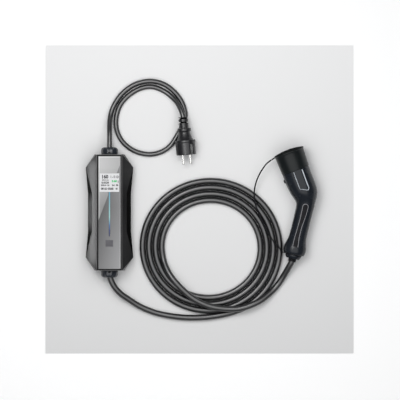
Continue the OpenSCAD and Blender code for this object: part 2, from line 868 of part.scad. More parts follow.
mains_route = [
    [0, 96, 24], [0, 124, 24], [0, 142, 23], [0, 160, 19.5], [0, 180, 12], [2.5, 198, 6.5],
    [10, 217, 5], [26, 239, 5], [50, 256, 5], [80, 263, 5], [108, 257, 5], [131, 240, 5],
    [146, 218, 5], [151.5, 195, 5], [148, 177, 5], [140.5, 163.5, 5], [132, 148.5, 5],
    [120.5, 132.5, 5], [102, 120.5, 5], [76.5, 116.3, 5], [48, 124, 5], [25.5, 142, 5],
    [14, 166, 5], [13.5, 192, 5], [22.5, 217, 5], [41.5, 237, 5], [64, 249, 5],
    [85, 251.5, 5], [107, 244, 5], [124, 231.5, 7.5], [136, 218, 13], [143.2, 204, 18.5],
    [146.9, 192, 21], [148.1, 178, 21]
];

lead_route = [
    [0, -96, 24], [0, -118, 24], [1.2, -130, 23.9], [6, -142.5, 23], [13.4, -153.8, 20.8],
    [23.6, -164, 17.6], [37, -173.2, 13.4], [60.5, -188.3, 7.6], [92, -201, 6.1],
    [122, -207.5, 6.1], [150, -210.6, 6.1]
];

tail_route = [
    [110, -98, 8.5], [121.5, -126, 15.5], [143, -152, 18.5], [170, -174, 18.5],
    [201, -188, 18.5], [231, -193, 18.5], [257, -193, 18.5], [274, -189, 18.5],
    [289, -183.2, 18], [303, -176, 15.6], [315, -167, 11.6], [327, -156.2, 7.4],
    [337.5, -144, 6.3], [346.5, -130.5, 8.4], [354.3, -117.3, 13.8], [360, -107, 18.4],
    [364.5, -98, 21.2], [368.1, -83.4, 21.8], [373.9, -60.1, 22.8]
];

tether_route = [
    [323.6, 105, 30.9], [314, 97.2, 29.6], [306.5, 87.4, 27.4], [299, 74.5, 23.6],
    [293.2, 60, 19], [290, 45, 15.2], [289.6, 31, 13.8], [292.5, 14.5, 13.7],
    [298.5, -1.5, 13.7], [305.8, -17.2, 13.7], [313, -32, 13.7], [320, -46, 13.9],
    [328.6, -58.4, 15], [337, -68, 17.8], [345, -78, 22.4]
];

coil_middle = [203, -74, 0];

module mains_cable() {
    color(lead_color) tube(mains_route, mains_d, 10);
}

module vehicle_cable_lead() {
    color(lead_color) tube(lead_route, vehicle_d, 10);
}

module vehicle_cable_tail() {
    color(lead_color) tube(tail_route, vehicle_d, 10);
}

// Four turns side by side on the surface, as one closed ring
module vehicle_cable_coil() {
    outer_r = coil_r + (coil_turns - 1) * coil_pitch;
    color(lead_color) translate(coil_middle) rotate_extrude($fn = 96) {
        for (k = [0 : coil_turns - 1])
            translate([coil_r + k * coil_pitch, vehicle_d / 2]) circle(d = vehicle_d, $fn = 32);
        translate([coil_r, vehicle_d * 0.1]) square([outer_r - coil_r, vehicle_d * 0.7]);
    }
}

module cap_tether() {
    color(rubber_color) tube(tether_route, tether_d, 8);
}

// Vehicle connector: Y runs out of the nose, X to the gun's back, and the frame
// leans a little, because the cap's rim and the handle's flare both lie down

connector_place = [372, 84.3, 29.25];
connector_lean = 2.7;
connector_heading = 20.2;
module at_connector() {
    translate(connector_place) rotate([connector_lean, 0, connector_heading]) children();
}

// The handle's frame: Y runs from the elbow to the handle's end, X to its front
module at_handle() {
    translate([0, -elbow_len, 0]) rotate([0, 0, 180 - grip_turn]) children();
}

handle_way = [-sin(grip_turn), -cos(grip_turn)];
function handle_point(along) = [0, -elbow_len] + along * handle_way;

// Stations of the grip: place, turn, and how much of the wider part's size it has.
// The first rows blend the head into the handle, the others end in the flare.
elbow_rows = [
    [0, 0, 0, 1], [0, 0.19, 0, 1], [0.2, 0.37, 0, 1], [0.8, 0.55, 3, 0.96],
    [1.2, 0.71, 8, 0.92], [0.9, 0.83, 10, 0.7], [-0.4, 0.94, 13, 0.42], [-3.4, 1.06, 20, 0.13],
    [-7.7, 1.17, 28, 0.05], [-12.9, 1.29, 32.5, 0.02]
];
handle_rows = [
    [0.31, 0], [0.45, 0], [0.6, 0], [0.71, 0.05], [0.77, 0.35],
    [0.835, 0.8], [0.89, 1], [0.945, 1], [0.98, 0.8],
    [1, 0.5]
];
function mix(low, high, share) = low + (high - low) * share;
function grip_stations(proud) = concat(
    [for (row = elbow_rows)
        [row.x * elbow_len / 65, -row.y * elbow_len, row[2] * grip_turn / 34,
         mix(grip_w, head_d, row[3]) / 2 + proud, mix(grip_t, head_d, row[3]) / 2 + proud]],
    [for (row = handle_rows)
        let (p = handle_point(row.x * grip_len))
        [p.x, p.y, grip_turn,
         mix(grip_w, flare_w, row.y) / 2 + proud, mix(grip_t, flare_t, row.y) / 2 + proud]]);
grip_sides = 36;
function grip_ring(s) =
    [for (k = [0 : grip_sides - 1])
        let (a = -360 * k / grip_sides)
        [s.x + s[3] * cos(a) * cos(s.z), s.y - s[3] * cos(a) * sin(s.z), s[4] * sin(a)]];

module grip_form(proud) {
    skin([for (s = grip_stations(proud)) grip_ring(s)]);
}

// The hollow of the grip, open at the head's front and closed at the handle's end
end_wall = 3;
module grip_hollow() {
    inner = grip_stations(-grip_wall);
    mouth = [inner[0].x, over, 0, inner[0][3], inner[0][4]];
    last = handle_point(grip_len - end_wall);
    narrow = grip_wall + 2;
    stop = [last.x, last.y, grip_turn, flare_w / 2 - narrow, flare_t / 2 - narrow];
    kept = [for (i = [0 : len(inner) - 3]) inner[i]];
    skin([for (s = concat([mouth], kept, [stop])) grip_ring(s)]);
}

// Everything above or below the plane in which the two shells meet
module half_space(side) {
    size = 400;
    translate([-size / 2, -size * 0.7, side > 0 ? 0 : -size]) cube([size, size, size]);
}

side_panel_x = 3.5;
module side_panel_recess() {
    floor_z = head_d / 2 - side_panel_drop;
    foot = side_panel_w / 2;
    translate([side_panel_x, 0, floor_z]) linear_extrude(height = head_d) {
        translate([-foot, foot - side_panel_len]) square([side_panel_w, side_panel_len - foot + over]);
        translate([0, foot - side_panel_len]) circle(r = foot);
    }
}

// The pads' outline waves along the handle
pad_from = 0.12 * grip_len;
pad_to = 0.845 * grip_len;
pad_bow = 0.08 * pad_w;
function pad_middle(along) = -pad_bow - pad_bow * sin(180 * (along / grip_len - 0.18) / 0.45);
module pad_outline(clear) {
    half = pad_w / 2 + clear;
    steps = 16;
    run = [for (k = [0 : steps]) mix(pad_from + half, pad_to - half, k / steps)];
    polygon(concat(
        [for (s = run) [pad_middle(s) + half, s]],
        [[pad_middle(pad_to) + half / 2, pad_to + clear], [pad_middle(pad_to) - half / 2, pad_to + clear]],
        [for (k = [steps : -1 : 0]) [pad_middle(run[k]) - half, run[k]]],
        [[pad_middle(pad_from) - half / 2, pad_from - clear],
         [pad_middle(pad_from) + half / 2, pad_from - clear]]));
}

module pad_prism(clear) {
    at_handle() linear_extrude(height = head_d) pad_outline(clear);
}

screw_boss_d = 6.6;
handle_side = [-cos(grip_turn), sin(grip_turn)];
screw_places = [
    [-0.31 * head_d, -0.46 * elbow_len], [0.32 * head_d, -0.58 * elbow_len],
    handle_point(0.27 * grip_len) - 0.25 * grip_w * handle_side,
    handle_point(0.85 * grip_len) + 0.46 * grip_w * handle_side
];
module at_grip_screws() {
    for (p = screw_places) translate([p.x, p.y, 0]) children();
}

// The bump under the head's front edge is where the cap's catch grips
catch_place = [-0.436 * head_d, -0.25 * head_d, 0];
catch_d = 12;
collar_neck_d = 22;
module grip_shell_shape() {
    difference() {
        union() {
            grip_form(0);
            translate(catch_place) sphere(d = catch_d, $fn = 32);
        }
        grip_hollow();
        at_handle() rod(grip_len - 6, grip_len + over, collar_neck_d + 2 * fit);
    }
}

// What both shells share; the lower one is this half's mirror image
module half_shell() {
    difference() {
        intersection() {
            grip_shell_shape();
            half_space(1);
        }
        side_panel_recess();
        difference() {
            pad_prism(fit);
            grip_form(-pad_seat);
        }
    }
}

module upper_grip_shell() {
    color(shell_color) at_connector() difference() {
        union() {
            half_shell();
            intersection() {
                at_grip_screws() cylinder(d = screw_boss_d, h = head_d / 2);
                grip_form(-grip_wall + 0.4);
            }
        }
        at_grip_screws() translate([0, 0, -head_d / 2])
            cylinder(d = screw_d - 2 * screw_bite, h = head_d / 2 + screw_reach + 0.5);
    }
}

module lower_grip_shell() {
    color(shell_color) at_connector() difference() {
        union() {
            mirror([0, 0, 1]) half_shell();
            intersection() {
                at_grip_screws() translate([0, 0, -head_d / 2])
                    cylinder(d = screw_boss_d, h = head_d / 2);
                grip_form(-grip_wall + 0.4);
            }
            intersection() {
                at_handle() at_clamp_screws() translate([0, 0, -head_d / 2])
                    cylinder(d = screw_boss_d - 1, h = head_d / 2);
                grip_form(-grip_wall + 0.4);
            }
        }
        at_grip_screws() {
            translate([0, 0, -head_d]) cylinder(d = screw_d + 0.4, h = head_d + over);
            translate([0, 0, -head_d - grip_screw_seat]) cylinder(d = screw_head_d, h = head_d);
        }
        at_handle() at_clamp_screws() translate([0, 0, -clamp_screw_len])
            cylinder(d = screw_d - 2 * screw_bite, h = clamp_screw_len + over);
    }
}

grip_screw_seat = 8;
screw_reach = 4;
clamp_screw_len = 5;
module grip_screw(seat, tip, head) {
    difference() {
        union() {
            translate([0, 0, seat - 2]) cylinder(d = head, h = 2);
            translate([0, 0, seat]) cylinder(d = screw_d, h = tip - seat);
        }
        cross_recess(seat - 2, head);
    }
}

// Four join the shells from below, and two hold the clamp from above
module grip_screws() {
    head = screw_head_d - 1;
    color(steel_color) at_connector() {
        at_grip_screws() grip_screw(-grip_screw_seat, screw_reach, head);
        at_handle() at_clamp_screws() mirror([0, 0, 1])
            grip_screw(-clamp_ear, clamp_screw_len - 0.5, head);
    }
}

module grip_pads() {
    color(rubber_color) at_connector() for (side = [0, 1]) mirror([0, 0, side])
        intersection() {
            pad_prism(0);
            difference() {
                grip_form(pad_proud);
                grip_form(-pad_seat + fit / 3);
            }
        }
}

// Contact nose: seven ways, of which a single-phase charger fills five

contact_low = 13.5;
contact_high = 12;
contact_half = 8;
power_places = [[0, 0], [0, contact_side], [0, -contact_side]];
spare_places = [[-contact_low, contact_half], [-contact_low, -contact_half]];
pilot_places = [[contact_high, contact_half], [contact_high, -contact_half]];
module at_ways(places) {
    for (p = places) translate([p.x, 0, p.y]) children();
}

sleeve_wall = 0.95;
power_d = contact_bore + 2 * sleeve_wall;
pilot_d = pilot_bore + 2 * sleeve_wall;
post_d = power_d + 2;
pilot_post_d = pilot_d + 2;
sleeve_front = nose_len - 5;
module d_outline(d, flat) {
    intersection() {
        circle(d = d);
        translate([-d, -d]) square([d + flat, 2 * d]);
    }
}

module contact_nose() {
    rim = 2.5;
    recess = 3;
    moat = 1.3;
    moat_depth = 12;
    spigot = 14;
    spigot_d = head_d - 2 * grip_wall - 2 * fit;
    floor_y = nose_len - recess;
    color(dark_color) at_connector() difference() {
        union() {
            along_y(0, nose_len) d_outline(nose_d, nose_flat);
            rod(-spigot, 0, spigot_d);
        }
        difference() {
            along_y(floor_y, nose_len + over) d_outline(nose_d - 2 * rim, nose_flat - rim);
            at_ways(concat(power_places, spare_places)) rod(floor_y - 1, nose_len - 1, post_d);
            at_ways(pilot_places) rod(floor_y - 1, nose_len - 1, pilot_post_d);
        }
        at_ways(concat(power_places, spare_places))
            turned_ring(floor_y - moat_depth, floor_y, post_d, post_d + 2 * moat);
        at_ways(pilot_places)
            turned_ring(floor_y - moat_depth, floor_y, pilot_post_d, pilot_post_d + 2 * moat);
        at_ways(power_places) rod(-spigot - over, nose_len, power_d + fit);
        at_ways(spare_places) rod(floor_y - 24, nose_len, contact_bore);
        at_ways(pilot_places) rod(-spigot - over, nose_len, pilot_d + fit);
    }
}

// Turned sleeves: a bore for the inlet's pin in front, a solid crimp end behind
module contact_sleeve(outer_d, bore) {
    turned([
        [0, -18], [outer_d / 2 - 1, -18], [outer_d / 2 - 1, -10], [outer_d / 2, -10],
        [outer_d / 2, sleeve_front], [bore / 2 + 0.4, sleeve_front], [bore / 2, sleeve_front - 0.6],
        [bore / 2, 0], [0, 0]
    ]);
}

module power_contacts() {
    color(brass_color) at_connector() at_ways(power_places) contact_sleeve(power_d, contact_bore);
}

module pilot_contacts() {
    color(brass_color) at_connector() at_ways(pilot_places) contact_sleeve(pilot_d, pilot_bore);
}

// Wires from the contacts round the elbow to the cable's end in the handle
cable_end = 86;
module connector_wires() {
    bundle = 0.28;
    thick = 2.8;
    color([0.15, 0.3, 0.6]) at_connector() for (p = concat(power_places, pilot_places)) {
        bend = [p.x * bundle, -elbow_len, p.y * bundle];
        end = handle_point(cable_end);
        across = p.x * bundle * 0.8;
        stop = [end.x + across * cos(grip_turn), end.y - across * sin(grip_turn), p.y * bundle * 0.8];
        wire([p.x, -18, p.y], bend, thick);
        translate(bend) sphere(d = thick + 0.4, $fn = 20);
        wire(bend, stop, thick);
    }
}

// Saddle that holds the cable's sheath down on two posts inside the handle
clamp_from = 89;
clamp_len = 9;
clamp_ear = 3;
clamp_screw_x = 9.2;
module at_clamp_screws() {
    for (side = [-1, 1]) translate([side * clamp_screw_x, clamp_from + clamp_len / 2, 0]) children();
}

module cable_clamp() {
    from = clamp_from;
    size = [2 * clamp_screw_x + 5, clamp_len, vehicle_d / 2 + 3];
    color(dark_color) at_connector() at_handle() difference() {
        translate([-size.x / 2, from, 0.2]) cube(size);
        rod(from - over, from + size.y + over, vehicle_d + fit);
        at_clamp_screws() {
            translate([0, 0, -over]) cylinder(d = screw_d + 0.4, h = size.z + 2 * over);
            translate([0, 0, clamp_ear]) cylinder(d = screw_head_d - 0.4, h = size.z);
        }
    }
}

// Handle's end: collar, cable boot and the tether's ring between collar and shell

collar_len = 7;
collar_from = grip_len + ring_t + fit;
boot_flange_d = 18;
module end_collar() {
    neck = collar_neck_d / 2;
    inner = boot_bore / 2;
    keeper = neck + 3;
    outer = collar_d / 2;
    color(dark_color) at_connector() at_handle() turned([
        [inner, grip_len - end_wall - 3], [keeper, grip_len - end_wall - 3],
        [keeper, grip_len - end_wall - fit], [neck, grip_len - end_wall - fit],
        [neck, collar_from], [outer, collar_from], [outer, collar_from + 2.4],
        [outer - 2.6, collar_from + collar_len], [inner, collar_from + collar_len]
    ]);
}

boot_bore = boot_tip_d + 1.6;
module cable_boot() {
    tip = boot_tip_d / 2;
    root = boot_bore / 2 - fit;
    end = grip_len + boot_len;
    inside = grip_len - 9.2;
    bore = vehicle_d / 2;
    color(rubber_color) at_connector() at_handle() difference() {
        turned([
            [bore, inside], [root + 2, inside], [root + 2, inside + 3], [root, inside + 3],
            [root, grip_len], [tip, end], [bore, end]
        ]);
        for (k = [0 : 1]) turned_ring(end - 2.6 - 2.6 * k, end - 1.4 - 2.6 * k, 2 * tip - 2, 2 * root + 2);
    }
}

module tether_ring() {
    reach = flare_w / 2 + 1.2;
    hole = collar_neck_d + 2 * fit;
    color(rubber_color) at_connector() at_handle() {
        difference() {
            union() {
                rod(grip_len + fit / 2, grip_len + fit / 2 + ring_t, collar_d + 2);
                translate([0, grip_len + fit / 2, -3]) cube([reach, ring_t, 6]);
            }
            rod(grip_len - over, grip_len + ring_t + over, hole);
        }
    }
}

// Protective cap: a flared cup with a domed end and a lug for the tether
module protective_cap() {
    mouth = head_d / 2;
    rim = cap_d / 2;
    inner = nose_d / 2 + slide_gap;
    rim_t = 2.4;
    floor_y = nose_len + 2;
    dome_r = (rim * rim + cap_dome * cap_dome) / (2 * cap_dome);
    sweep = asin(rim / dome_r);
    dome = arc([0, cap_len + cap_dome - dome_r], dome_r, 90 - sweep, 90, 8);
    start = tether_cap_end;
    color(dark_color) at_connector() {
        turned(concat(
            [[inner, slide_gap], [mouth, slide_gap], [rim - 0.8, cap_len - rim_t],
             [rim, cap_len - rim_t]], dome,
            [[0, floor_y], [inner - 1, floor_y], [inner, floor_y - 1]]));
        translate([0, 0, -3]) linear_extrude(height = 6) polygon([
            [-rim + 3, cap_len - 0.4], [-rim + 3, cap_len - 3], start + [0.5, -1.2], start + [-0.3, 1.2]
        ]);
    }
}

tether_cap_end = [-37.8, 36.2];

rear_cover();
front_cover();
cover_gasket();
cover_screws();
lens_panel();
display_module();
light_guide();
display_board();
main_board();
power_relays();
leakage_sensor();
supply_module();
terminal_blocks();
board_screws();
at_gland(1) gland_body(mains_d);  // mains_gland_body
at_gland(1) gland_seal(mains_d);  // mains_gland_seal
at_gland(1) gland_nut(mains_d);  // mains_gland_nut
at_gland(-1) gland_body(vehicle_d);  // vehicle_gland_body
at_gland(-1) gland_seal(vehicle_d);  // vehicle_gland_seal
at_gland(-1) gland_nut(vehicle_d);  // vehicle_gland_nut
lead_wires(1);  // mains_wires
lead_wires(-1);  // output_wires
mains_cable();
plug_body();
plug_pins();
plug_earth_contacts();
vehicle_cable_lead();
vehicle_cable_coil();
vehicle_cable_tail();
upper_grip_shell();
lower_grip_shell();
grip_pads();
grip_screws();
contact_nose();
power_contacts();
pilot_contacts();
connector_wires();
cable_clamp();
end_collar();
cable_boot();
tether_ring();
cap_tether();
protective_cap();
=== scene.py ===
# %% [markdown]
# # A portable electric car charger
# The charger lies on a pale surface and is seen from straight above: a dark
# control box, a short mains lead with its plug, and a long vehicle lead in four
# flat turns that ends in a connector under its cap. This lesson dresses the
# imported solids. Some keep their shape and get a finish, others are copied and get
# soft edges, and the cables and the connector's grip are modelled anew.

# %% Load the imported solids
import json
from math import atan2, cos, degrees, hypot, pi, radians, sin, sqrt

import bmesh
import bpy
from mathutils import Matrix, Vector


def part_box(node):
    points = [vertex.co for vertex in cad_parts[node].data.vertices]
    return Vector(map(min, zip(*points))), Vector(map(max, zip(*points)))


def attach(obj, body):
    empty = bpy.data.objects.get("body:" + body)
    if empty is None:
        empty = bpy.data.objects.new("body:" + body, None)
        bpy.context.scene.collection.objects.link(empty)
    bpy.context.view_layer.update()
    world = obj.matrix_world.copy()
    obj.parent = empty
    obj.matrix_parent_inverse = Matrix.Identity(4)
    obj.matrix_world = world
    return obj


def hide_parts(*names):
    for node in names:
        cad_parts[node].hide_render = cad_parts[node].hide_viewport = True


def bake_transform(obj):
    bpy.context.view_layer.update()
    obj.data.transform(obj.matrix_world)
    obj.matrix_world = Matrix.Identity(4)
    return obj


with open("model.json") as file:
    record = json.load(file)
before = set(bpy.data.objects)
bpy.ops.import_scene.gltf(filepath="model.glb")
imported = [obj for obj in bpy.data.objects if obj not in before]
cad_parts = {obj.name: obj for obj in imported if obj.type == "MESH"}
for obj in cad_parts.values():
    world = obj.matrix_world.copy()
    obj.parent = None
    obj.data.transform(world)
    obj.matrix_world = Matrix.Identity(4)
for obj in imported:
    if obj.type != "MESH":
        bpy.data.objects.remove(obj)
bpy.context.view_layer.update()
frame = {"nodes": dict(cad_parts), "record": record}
nodes = frame["nodes"]
MM = 0.001
print("loaded", len(nodes), "solids")

# %% [markdown]
# ## The view
# The photograph looks straight down with hardly any perspective, so the camera is
# twelve metres up with a long lens. At that height the frame covers 0.8 m.

# %% Camera
FRAME_WIDTH = 0.8
FRAME_MIDDLE = (0.181, 0.0248)
CAMERA_HEIGHT = 12.0
MIDDLE_HEIGHT = 0.025
SENSOR = 36
bpy.ops.object.camera_add(location=(*FRAME_MIDDLE, CAMERA_HEIGHT), rotation=(0, 0, 0))
camera = bpy.context.object
camera.name = "camera"
camera.data.sensor_width = SENSOR
camera.data.lens = SENSOR * (CAMERA_HEIGHT - MIDDLE_HEIGHT) / FRAME_WIDTH
camera.data.clip_end = 40
bpy.context.scene.camera = camera
bpy.context.scene.view_settings.view_transform = "Standard"

# %% [markdown]
# ## Working by hand
# Blender's operators act on what is selected, and the loaded solids come in all
# selected. So one helper selects a single piece, and another opens it for editing
# and closes it again.


# %% Selecting and editing one piece
def only(piece):
    bpy.ops.object.select_all(action="DESELECT")
    piece.select_set(True)
    bpy.context.view_layer.objects.active = piece


def mode(name):
    bpy.ops.object.mode_set(mode=name)


def select_points(action="SELECT"):
    bpy.ops.mesh.select_all(action=action)


def edit(piece, *steps):
    """Run editing steps on all of one piece."""
    only(piece)
    mode("EDIT")
    select_points()
    for run in steps:
        run()
    mode("OBJECT")


def modify(piece, kind, **settings):
    """Add one modifier, set it and apply it."""
    only(piece)
    bpy.ops.object.modifier_add(type=kind)
    made = piece.modifiers[-1]
    for key, value in settings.items():
        setattr(made, key, value)
    bpy.ops.object.modifier_apply(modifier=made.name)


def settle(piece, place=None):
    """Move a piece by a matrix and put its place into its mesh."""
    if place is not None:
        piece.matrix_world = place @ piece.matrix_world
        bpy.context.view_layer.update()
    only(piece)
    bpy.ops.object.transform_apply(location=True, rotation=True, scale=True)
    return piece


def turn_about(axis, angle):
    return Matrix.Rotation(radians(angle), 4, axis)


def frame_at(place, heading, axis, angle):
    """A frame at a place in mm, turned to a heading and then about an axis of its own."""
    middle = Matrix.Translation(Vector(place) * MM)
    return middle @ turn_about("Z", heading) @ turn_about(axis, angle)


def smooth(piece, angle=30):
    only(piece)
    bpy.ops.object.shade_smooth_by_angle(angle=radians(angle))
    return piece


def face_outwards():
    """An editing step that turns all faces outwards."""
    select_points()
    bpy.ops.mesh.normals_make_consistent(inside=False)


# %% Making, converting and joining pieces
def linked(name, data):
    """A new piece from a mesh or a curve, put into the scene."""
    piece = bpy.data.objects.new(name, data)
    bpy.context.scene.collection.objects.link(piece)
    return piece


def as_mesh(piece):
    only(piece)
    bpy.ops.object.convert(target="MESH")
    return bpy.context.object


def join(pieces):
    """Join pieces into the first of them."""
    only(pieces[0])
    for piece in pieces:
        piece.select_set(True)
    bpy.ops.object.join()
    return pieces[0]


# %% [markdown]
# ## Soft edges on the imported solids
# A moulded part has no knife edges: each one is rounded by a few tenths of a
# millimetre, and that is what catches the light. Modelling the covers again would
# risk their fit, so a copy of each solid is merged, its flat faces are joined, and
# its sharp edges get a small bevel.


# %% Copying a solid and rounding its edges
MERGE = 0.00001
FLAT_ANGLE = 0.4


def copy_of(solid, name):
    piece = linked(name, nodes[solid].data.copy())
    only(piece)
    while len(piece.data.materials) > 1:
        piece.data.materials.pop()
    bpy.ops.mesh.customdata_custom_splitnormals_clear()
    edit(
        piece,
        lambda: bpy.ops.mesh.remove_doubles(threshold=MERGE),
        lambda: bpy.ops.mesh.dissolve_limited(angle_limit=radians(FLAT_ANGLE)),
    )
    return piece


def even_shading(piece):
    """Let the large faces decide how a rounded edge shades."""
    smooth(piece, 40)
    modify(piece, "WEIGHTED_NORMAL", keep_sharp=True)
    return piece


def round_edges(piece, width, segments=2, angle=35):
    """Bevel the edges that are sharper than an angle."""
    modify(
        piece, "BEVEL", width=width * MM, segments=segments, limit_method="ANGLE",
        angle_limit=radians(angle),
    )
    return even_shading(piece)


def softened(solid, name, width, angle=35):
    return round_edges(copy_of(solid, name), width, angle=angle)


# %% Rounding a cover and marking its waist and rim
OFF_FACE = 0.0001
WAIST_HALF = 38.5
RIM_LOW = 53
FACES_ASIDE, FACES_UP, FLAT_UP = 0.86, 0.85, 0.99
SHARP_ANGLE = 8
GLOSSY_SLOT, PAINTED_SHADE_SLOT, RIM_SLOT = 1, 2, 3


def outer_faces(piece, open_side):
    """Faces that see out of the piece, leaving aside those that look into its open side."""
    found = set()
    for face in piece.data.polygons:
        start = face.center + face.normal * OFF_FACE
        hit = piece.ray_cast(start, face.normal)[0]
        if not hit and face.normal.z * open_side < 0.5:
            found.add(face.index)
    return found


def soften_outside(piece, open_side, width, segments=3):
    """Bevel the sharp edges of the outer faces, and mark the waist, the faces that get a painted
    shade, and the rim, which gets a painted highlight.

    An edge between an outer and an inner face is left alone, unless the inner
    one is level, as the joint between the covers is.
    """
    outer = outer_faces(piece, open_side)
    for face in piece.data.polygons:
        # Side faces in the waist's middle at the box's left get the waist finish; all other side
        # faces get a matt black that paints shade
        if face.index in outer and abs(face.normal.x) > FACES_ASIDE:
            glossy = face.normal.x < 0 and abs(face.center.y) < WAIST_HALF * MM
            face.material_index = GLOSSY_SLOT if glossy else PAINTED_SHADE_SLOT
        # Faces that look up on the rim get a lighter colour, a painted highlight, and more gloss
        elif face.normal.z > FACES_UP and face.center.z > RIM_LOW * MM:
            face.material_index = RIM_SLOT
    sides = {}
    for face in piece.data.polygons:
        for key in face.edge_keys:
            sides.setdefault(key, []).append(face)
    weights = piece.data.attributes.new("bevel_weight_edge", "FLOAT", "EDGE")
    count = 0
    for edge in piece.data.edges:
        pair = sides.get(edge.key, [])
        if len(pair) == 2 and any(f.index in outer for f in pair):
            if pair[0].normal.angle(pair[1].normal, 0) > radians(SHARP_ANGLE):
                if all(f.index in outer or abs(f.normal.z) > FLAT_UP for f in pair):
                    weights.data[edge.index].value = 1.0
                    count += 1
    modify(piece, "BEVEL", width=width * MM, segments=segments, limit_method="WEIGHT")
    even_shading(piece)
    print(piece.name, count, "edges rounded")


# %% [markdown]
# ## The two covers
# The box is a front and a rear cover that meet at mid height. Their facets meet in
# long creases that show as fine bright lines, so only the outer edges are rounded,
# and the joint between the covers becomes a thin groove.

# %% Covers
front_shell = copy_of("front_cover", "front_shell")
soften_outside(front_shell, -1, 0.5)
rear_shell = copy_of("rear_cover", "rear_shell")
soften_outside(rear_shell, 1, 0.5)

# %% [markdown]
# ## Front panel, screen figures and touch key
# The panel is one flat sheet with a printed film under its face. The screen shows
# plain figures in five rows. Text made a mesh, a tenth of a millimetre thick, keeps
# its sharp outline at any size, which a printed noise could not.

# %% Panel and touch key
panel_sheet = softened("lens_panel", "panel_sheet", 0.35)
panel_low, panel_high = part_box("lens_panel")
screen_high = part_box("display_module")[1]
strip_low, strip_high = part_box("light_guide")

KEY_SIZE = (15, 13)
KEY_GAP = 5.6
KEY_PROUD = 0.12
key_y = strip_low.y / MM - KEY_GAP - KEY_SIZE[1] / 2
bpy.ops.mesh.primitive_cube_add(size=1, location=(0, key_y * MM, panel_high.z))
touch_key = bpy.context.object
touch_key.name = "touch_key_print"
touch_key.scale = (KEY_SIZE[0] * MM, KEY_SIZE[1] * MM, 2 * KEY_PROUD * MM)
settle(touch_key)
modify(touch_key, "BEVEL", width=0.1 * MM, segments=2)
smooth(touch_key)

# %% Screen figures
CAPITAL = 0.69
FIGURES_PROUD = 0.05


def figures(name, rows):
    """One mesh of text rows: words, left and right end, baseline, height and boldness in mm."""
    made = []
    for words, left, right, base, height, bold in rows:
        bpy.ops.object.text_add(location=(0, 0, 0))
        line = bpy.context.object
        line.data.body = words
        line.data.size = height / CAPITAL * MM
        line.data.offset = bold * MM
        line.data.extrude = FIGURES_PROUD * MM
        line.data.resolution_u = 3
        line = as_mesh(line)
        line.scale.x = (right - left) * MM / line.dimensions.x
        start = left * MM - line.bound_box[0][0] * line.scale.x
        line.location = (start, screen_middle + base * MM, screen_high.z)
        made.append(settle(line))
    joined = join(made)
    joined.name = name
    return joined


STRIP_GAP = 0.0001
FIGURES_LOW = 1.8
screen_middle = (screen_high.y + (strip_high.y + STRIP_GAP)) / 2 - FIGURES_LOW * MM
dark_rows = [
    ("160", -14.4, -2.0, 8.3, 6.6, 0.45),
    ("1 - 5", 2.8, 10.8, 9.0, 4.6, 0.3),
    ("13", 13.0, 18.4, 9.0, 4.4, 0.25),
    ("00:24:16", -14.8, -1.4, 3.7, 2.5, 0.12),
    ("0.0528", -15.7, -1.0, -2.0, 3.5, 0.25),
    ("230.4 16", -17.0, 0.2, -6.9, 3.0, 0.22),
    ("24", 5.0, 10.6, -6.9, 3.1, 0.22),
    ("36", 13.0, 17.8, -6.9, 3.4, 0.25),
    ("08162 43268", -16.7, 8.2, -14.2, 3.8, 0.3),
    ("48", 12.0, 16.5, -14.2, 3.4, 0.22),
    ("1", 16.9, 18.3, -0.6, 4.8, 0.1),
]
green_rows = [("3.68", 4.7, 15.2, 0.9, 3.8, 0.35)]
figures_dark = figures("screen_figures_dark", dark_rows)
figures_green = figures("screen_figures_green", green_rows)
print("screen figures", len(figures_dark.data.polygons), "faces")


# %% [markdown]
# ## Cables
# A cable is one smooth curve with a round section. The points are places that it
# passes through, so a spline that goes through every point joins them, and it is
# cut into short straight steps for an even surface.


# %% A smooth way through points
def smooth_way(points, step):
    """Points about one step apart, in metres, on a spline through points in mm."""
    pts = [Vector(p) * MM for p in points]
    pts = [2 * pts[0] - pts[1]] + pts + [2 * pts[-1] - pts[-2]]
    way = []
    for a, b, c, d in zip(pts, pts[1:], pts[2:], pts[3:]):
        gaps = [max((q - p).length, 1e-9) ** 0.5 for p, q in ((a, b), (b, c), (c, d))]
        into = ((b - a) / gaps[0] - (c - a) / (gaps[0] + gaps[1]) + (c - b) / gaps[1]) * gaps[1]
        out = ((c - b) / gaps[1] - (d - b) / (gaps[1] + gaps[2]) + (d - c) / gaps[2]) * gaps[1]
        count = max(1, round((c - b).length / step))
        for k in range(count):
            t = k / count
            way.append(
                (2 * t**3 - 3 * t**2 + 1) * b
                + (t**3 - 2 * t**2 + t) * into
                + (3 * t**2 - 2 * t**3) * c
                + (t**3 - t**2) * out
            )
    return way + [pts[-2]]


def way_length(way):
    return sum((q - p).length for p, q in zip(way, way[1:]))


def cable(name, way, diameter, rounds=6):
    """A curve object with a round section along a way in metres."""
    data = bpy.data.curves.new(name, "CURVE")
    data.dimensions = "3D"
    data.bevel_depth = diameter / 2
    data.bevel_resolution = rounds
    data.use_fill_caps = True
    spline = data.splines.new("POLY")
    spline.points.add(len(way) - 1)
    for point, place in zip(spline.points, way):
        point.co = (*place, 1)
    spline.use_smooth = True
    return linked(name, data)


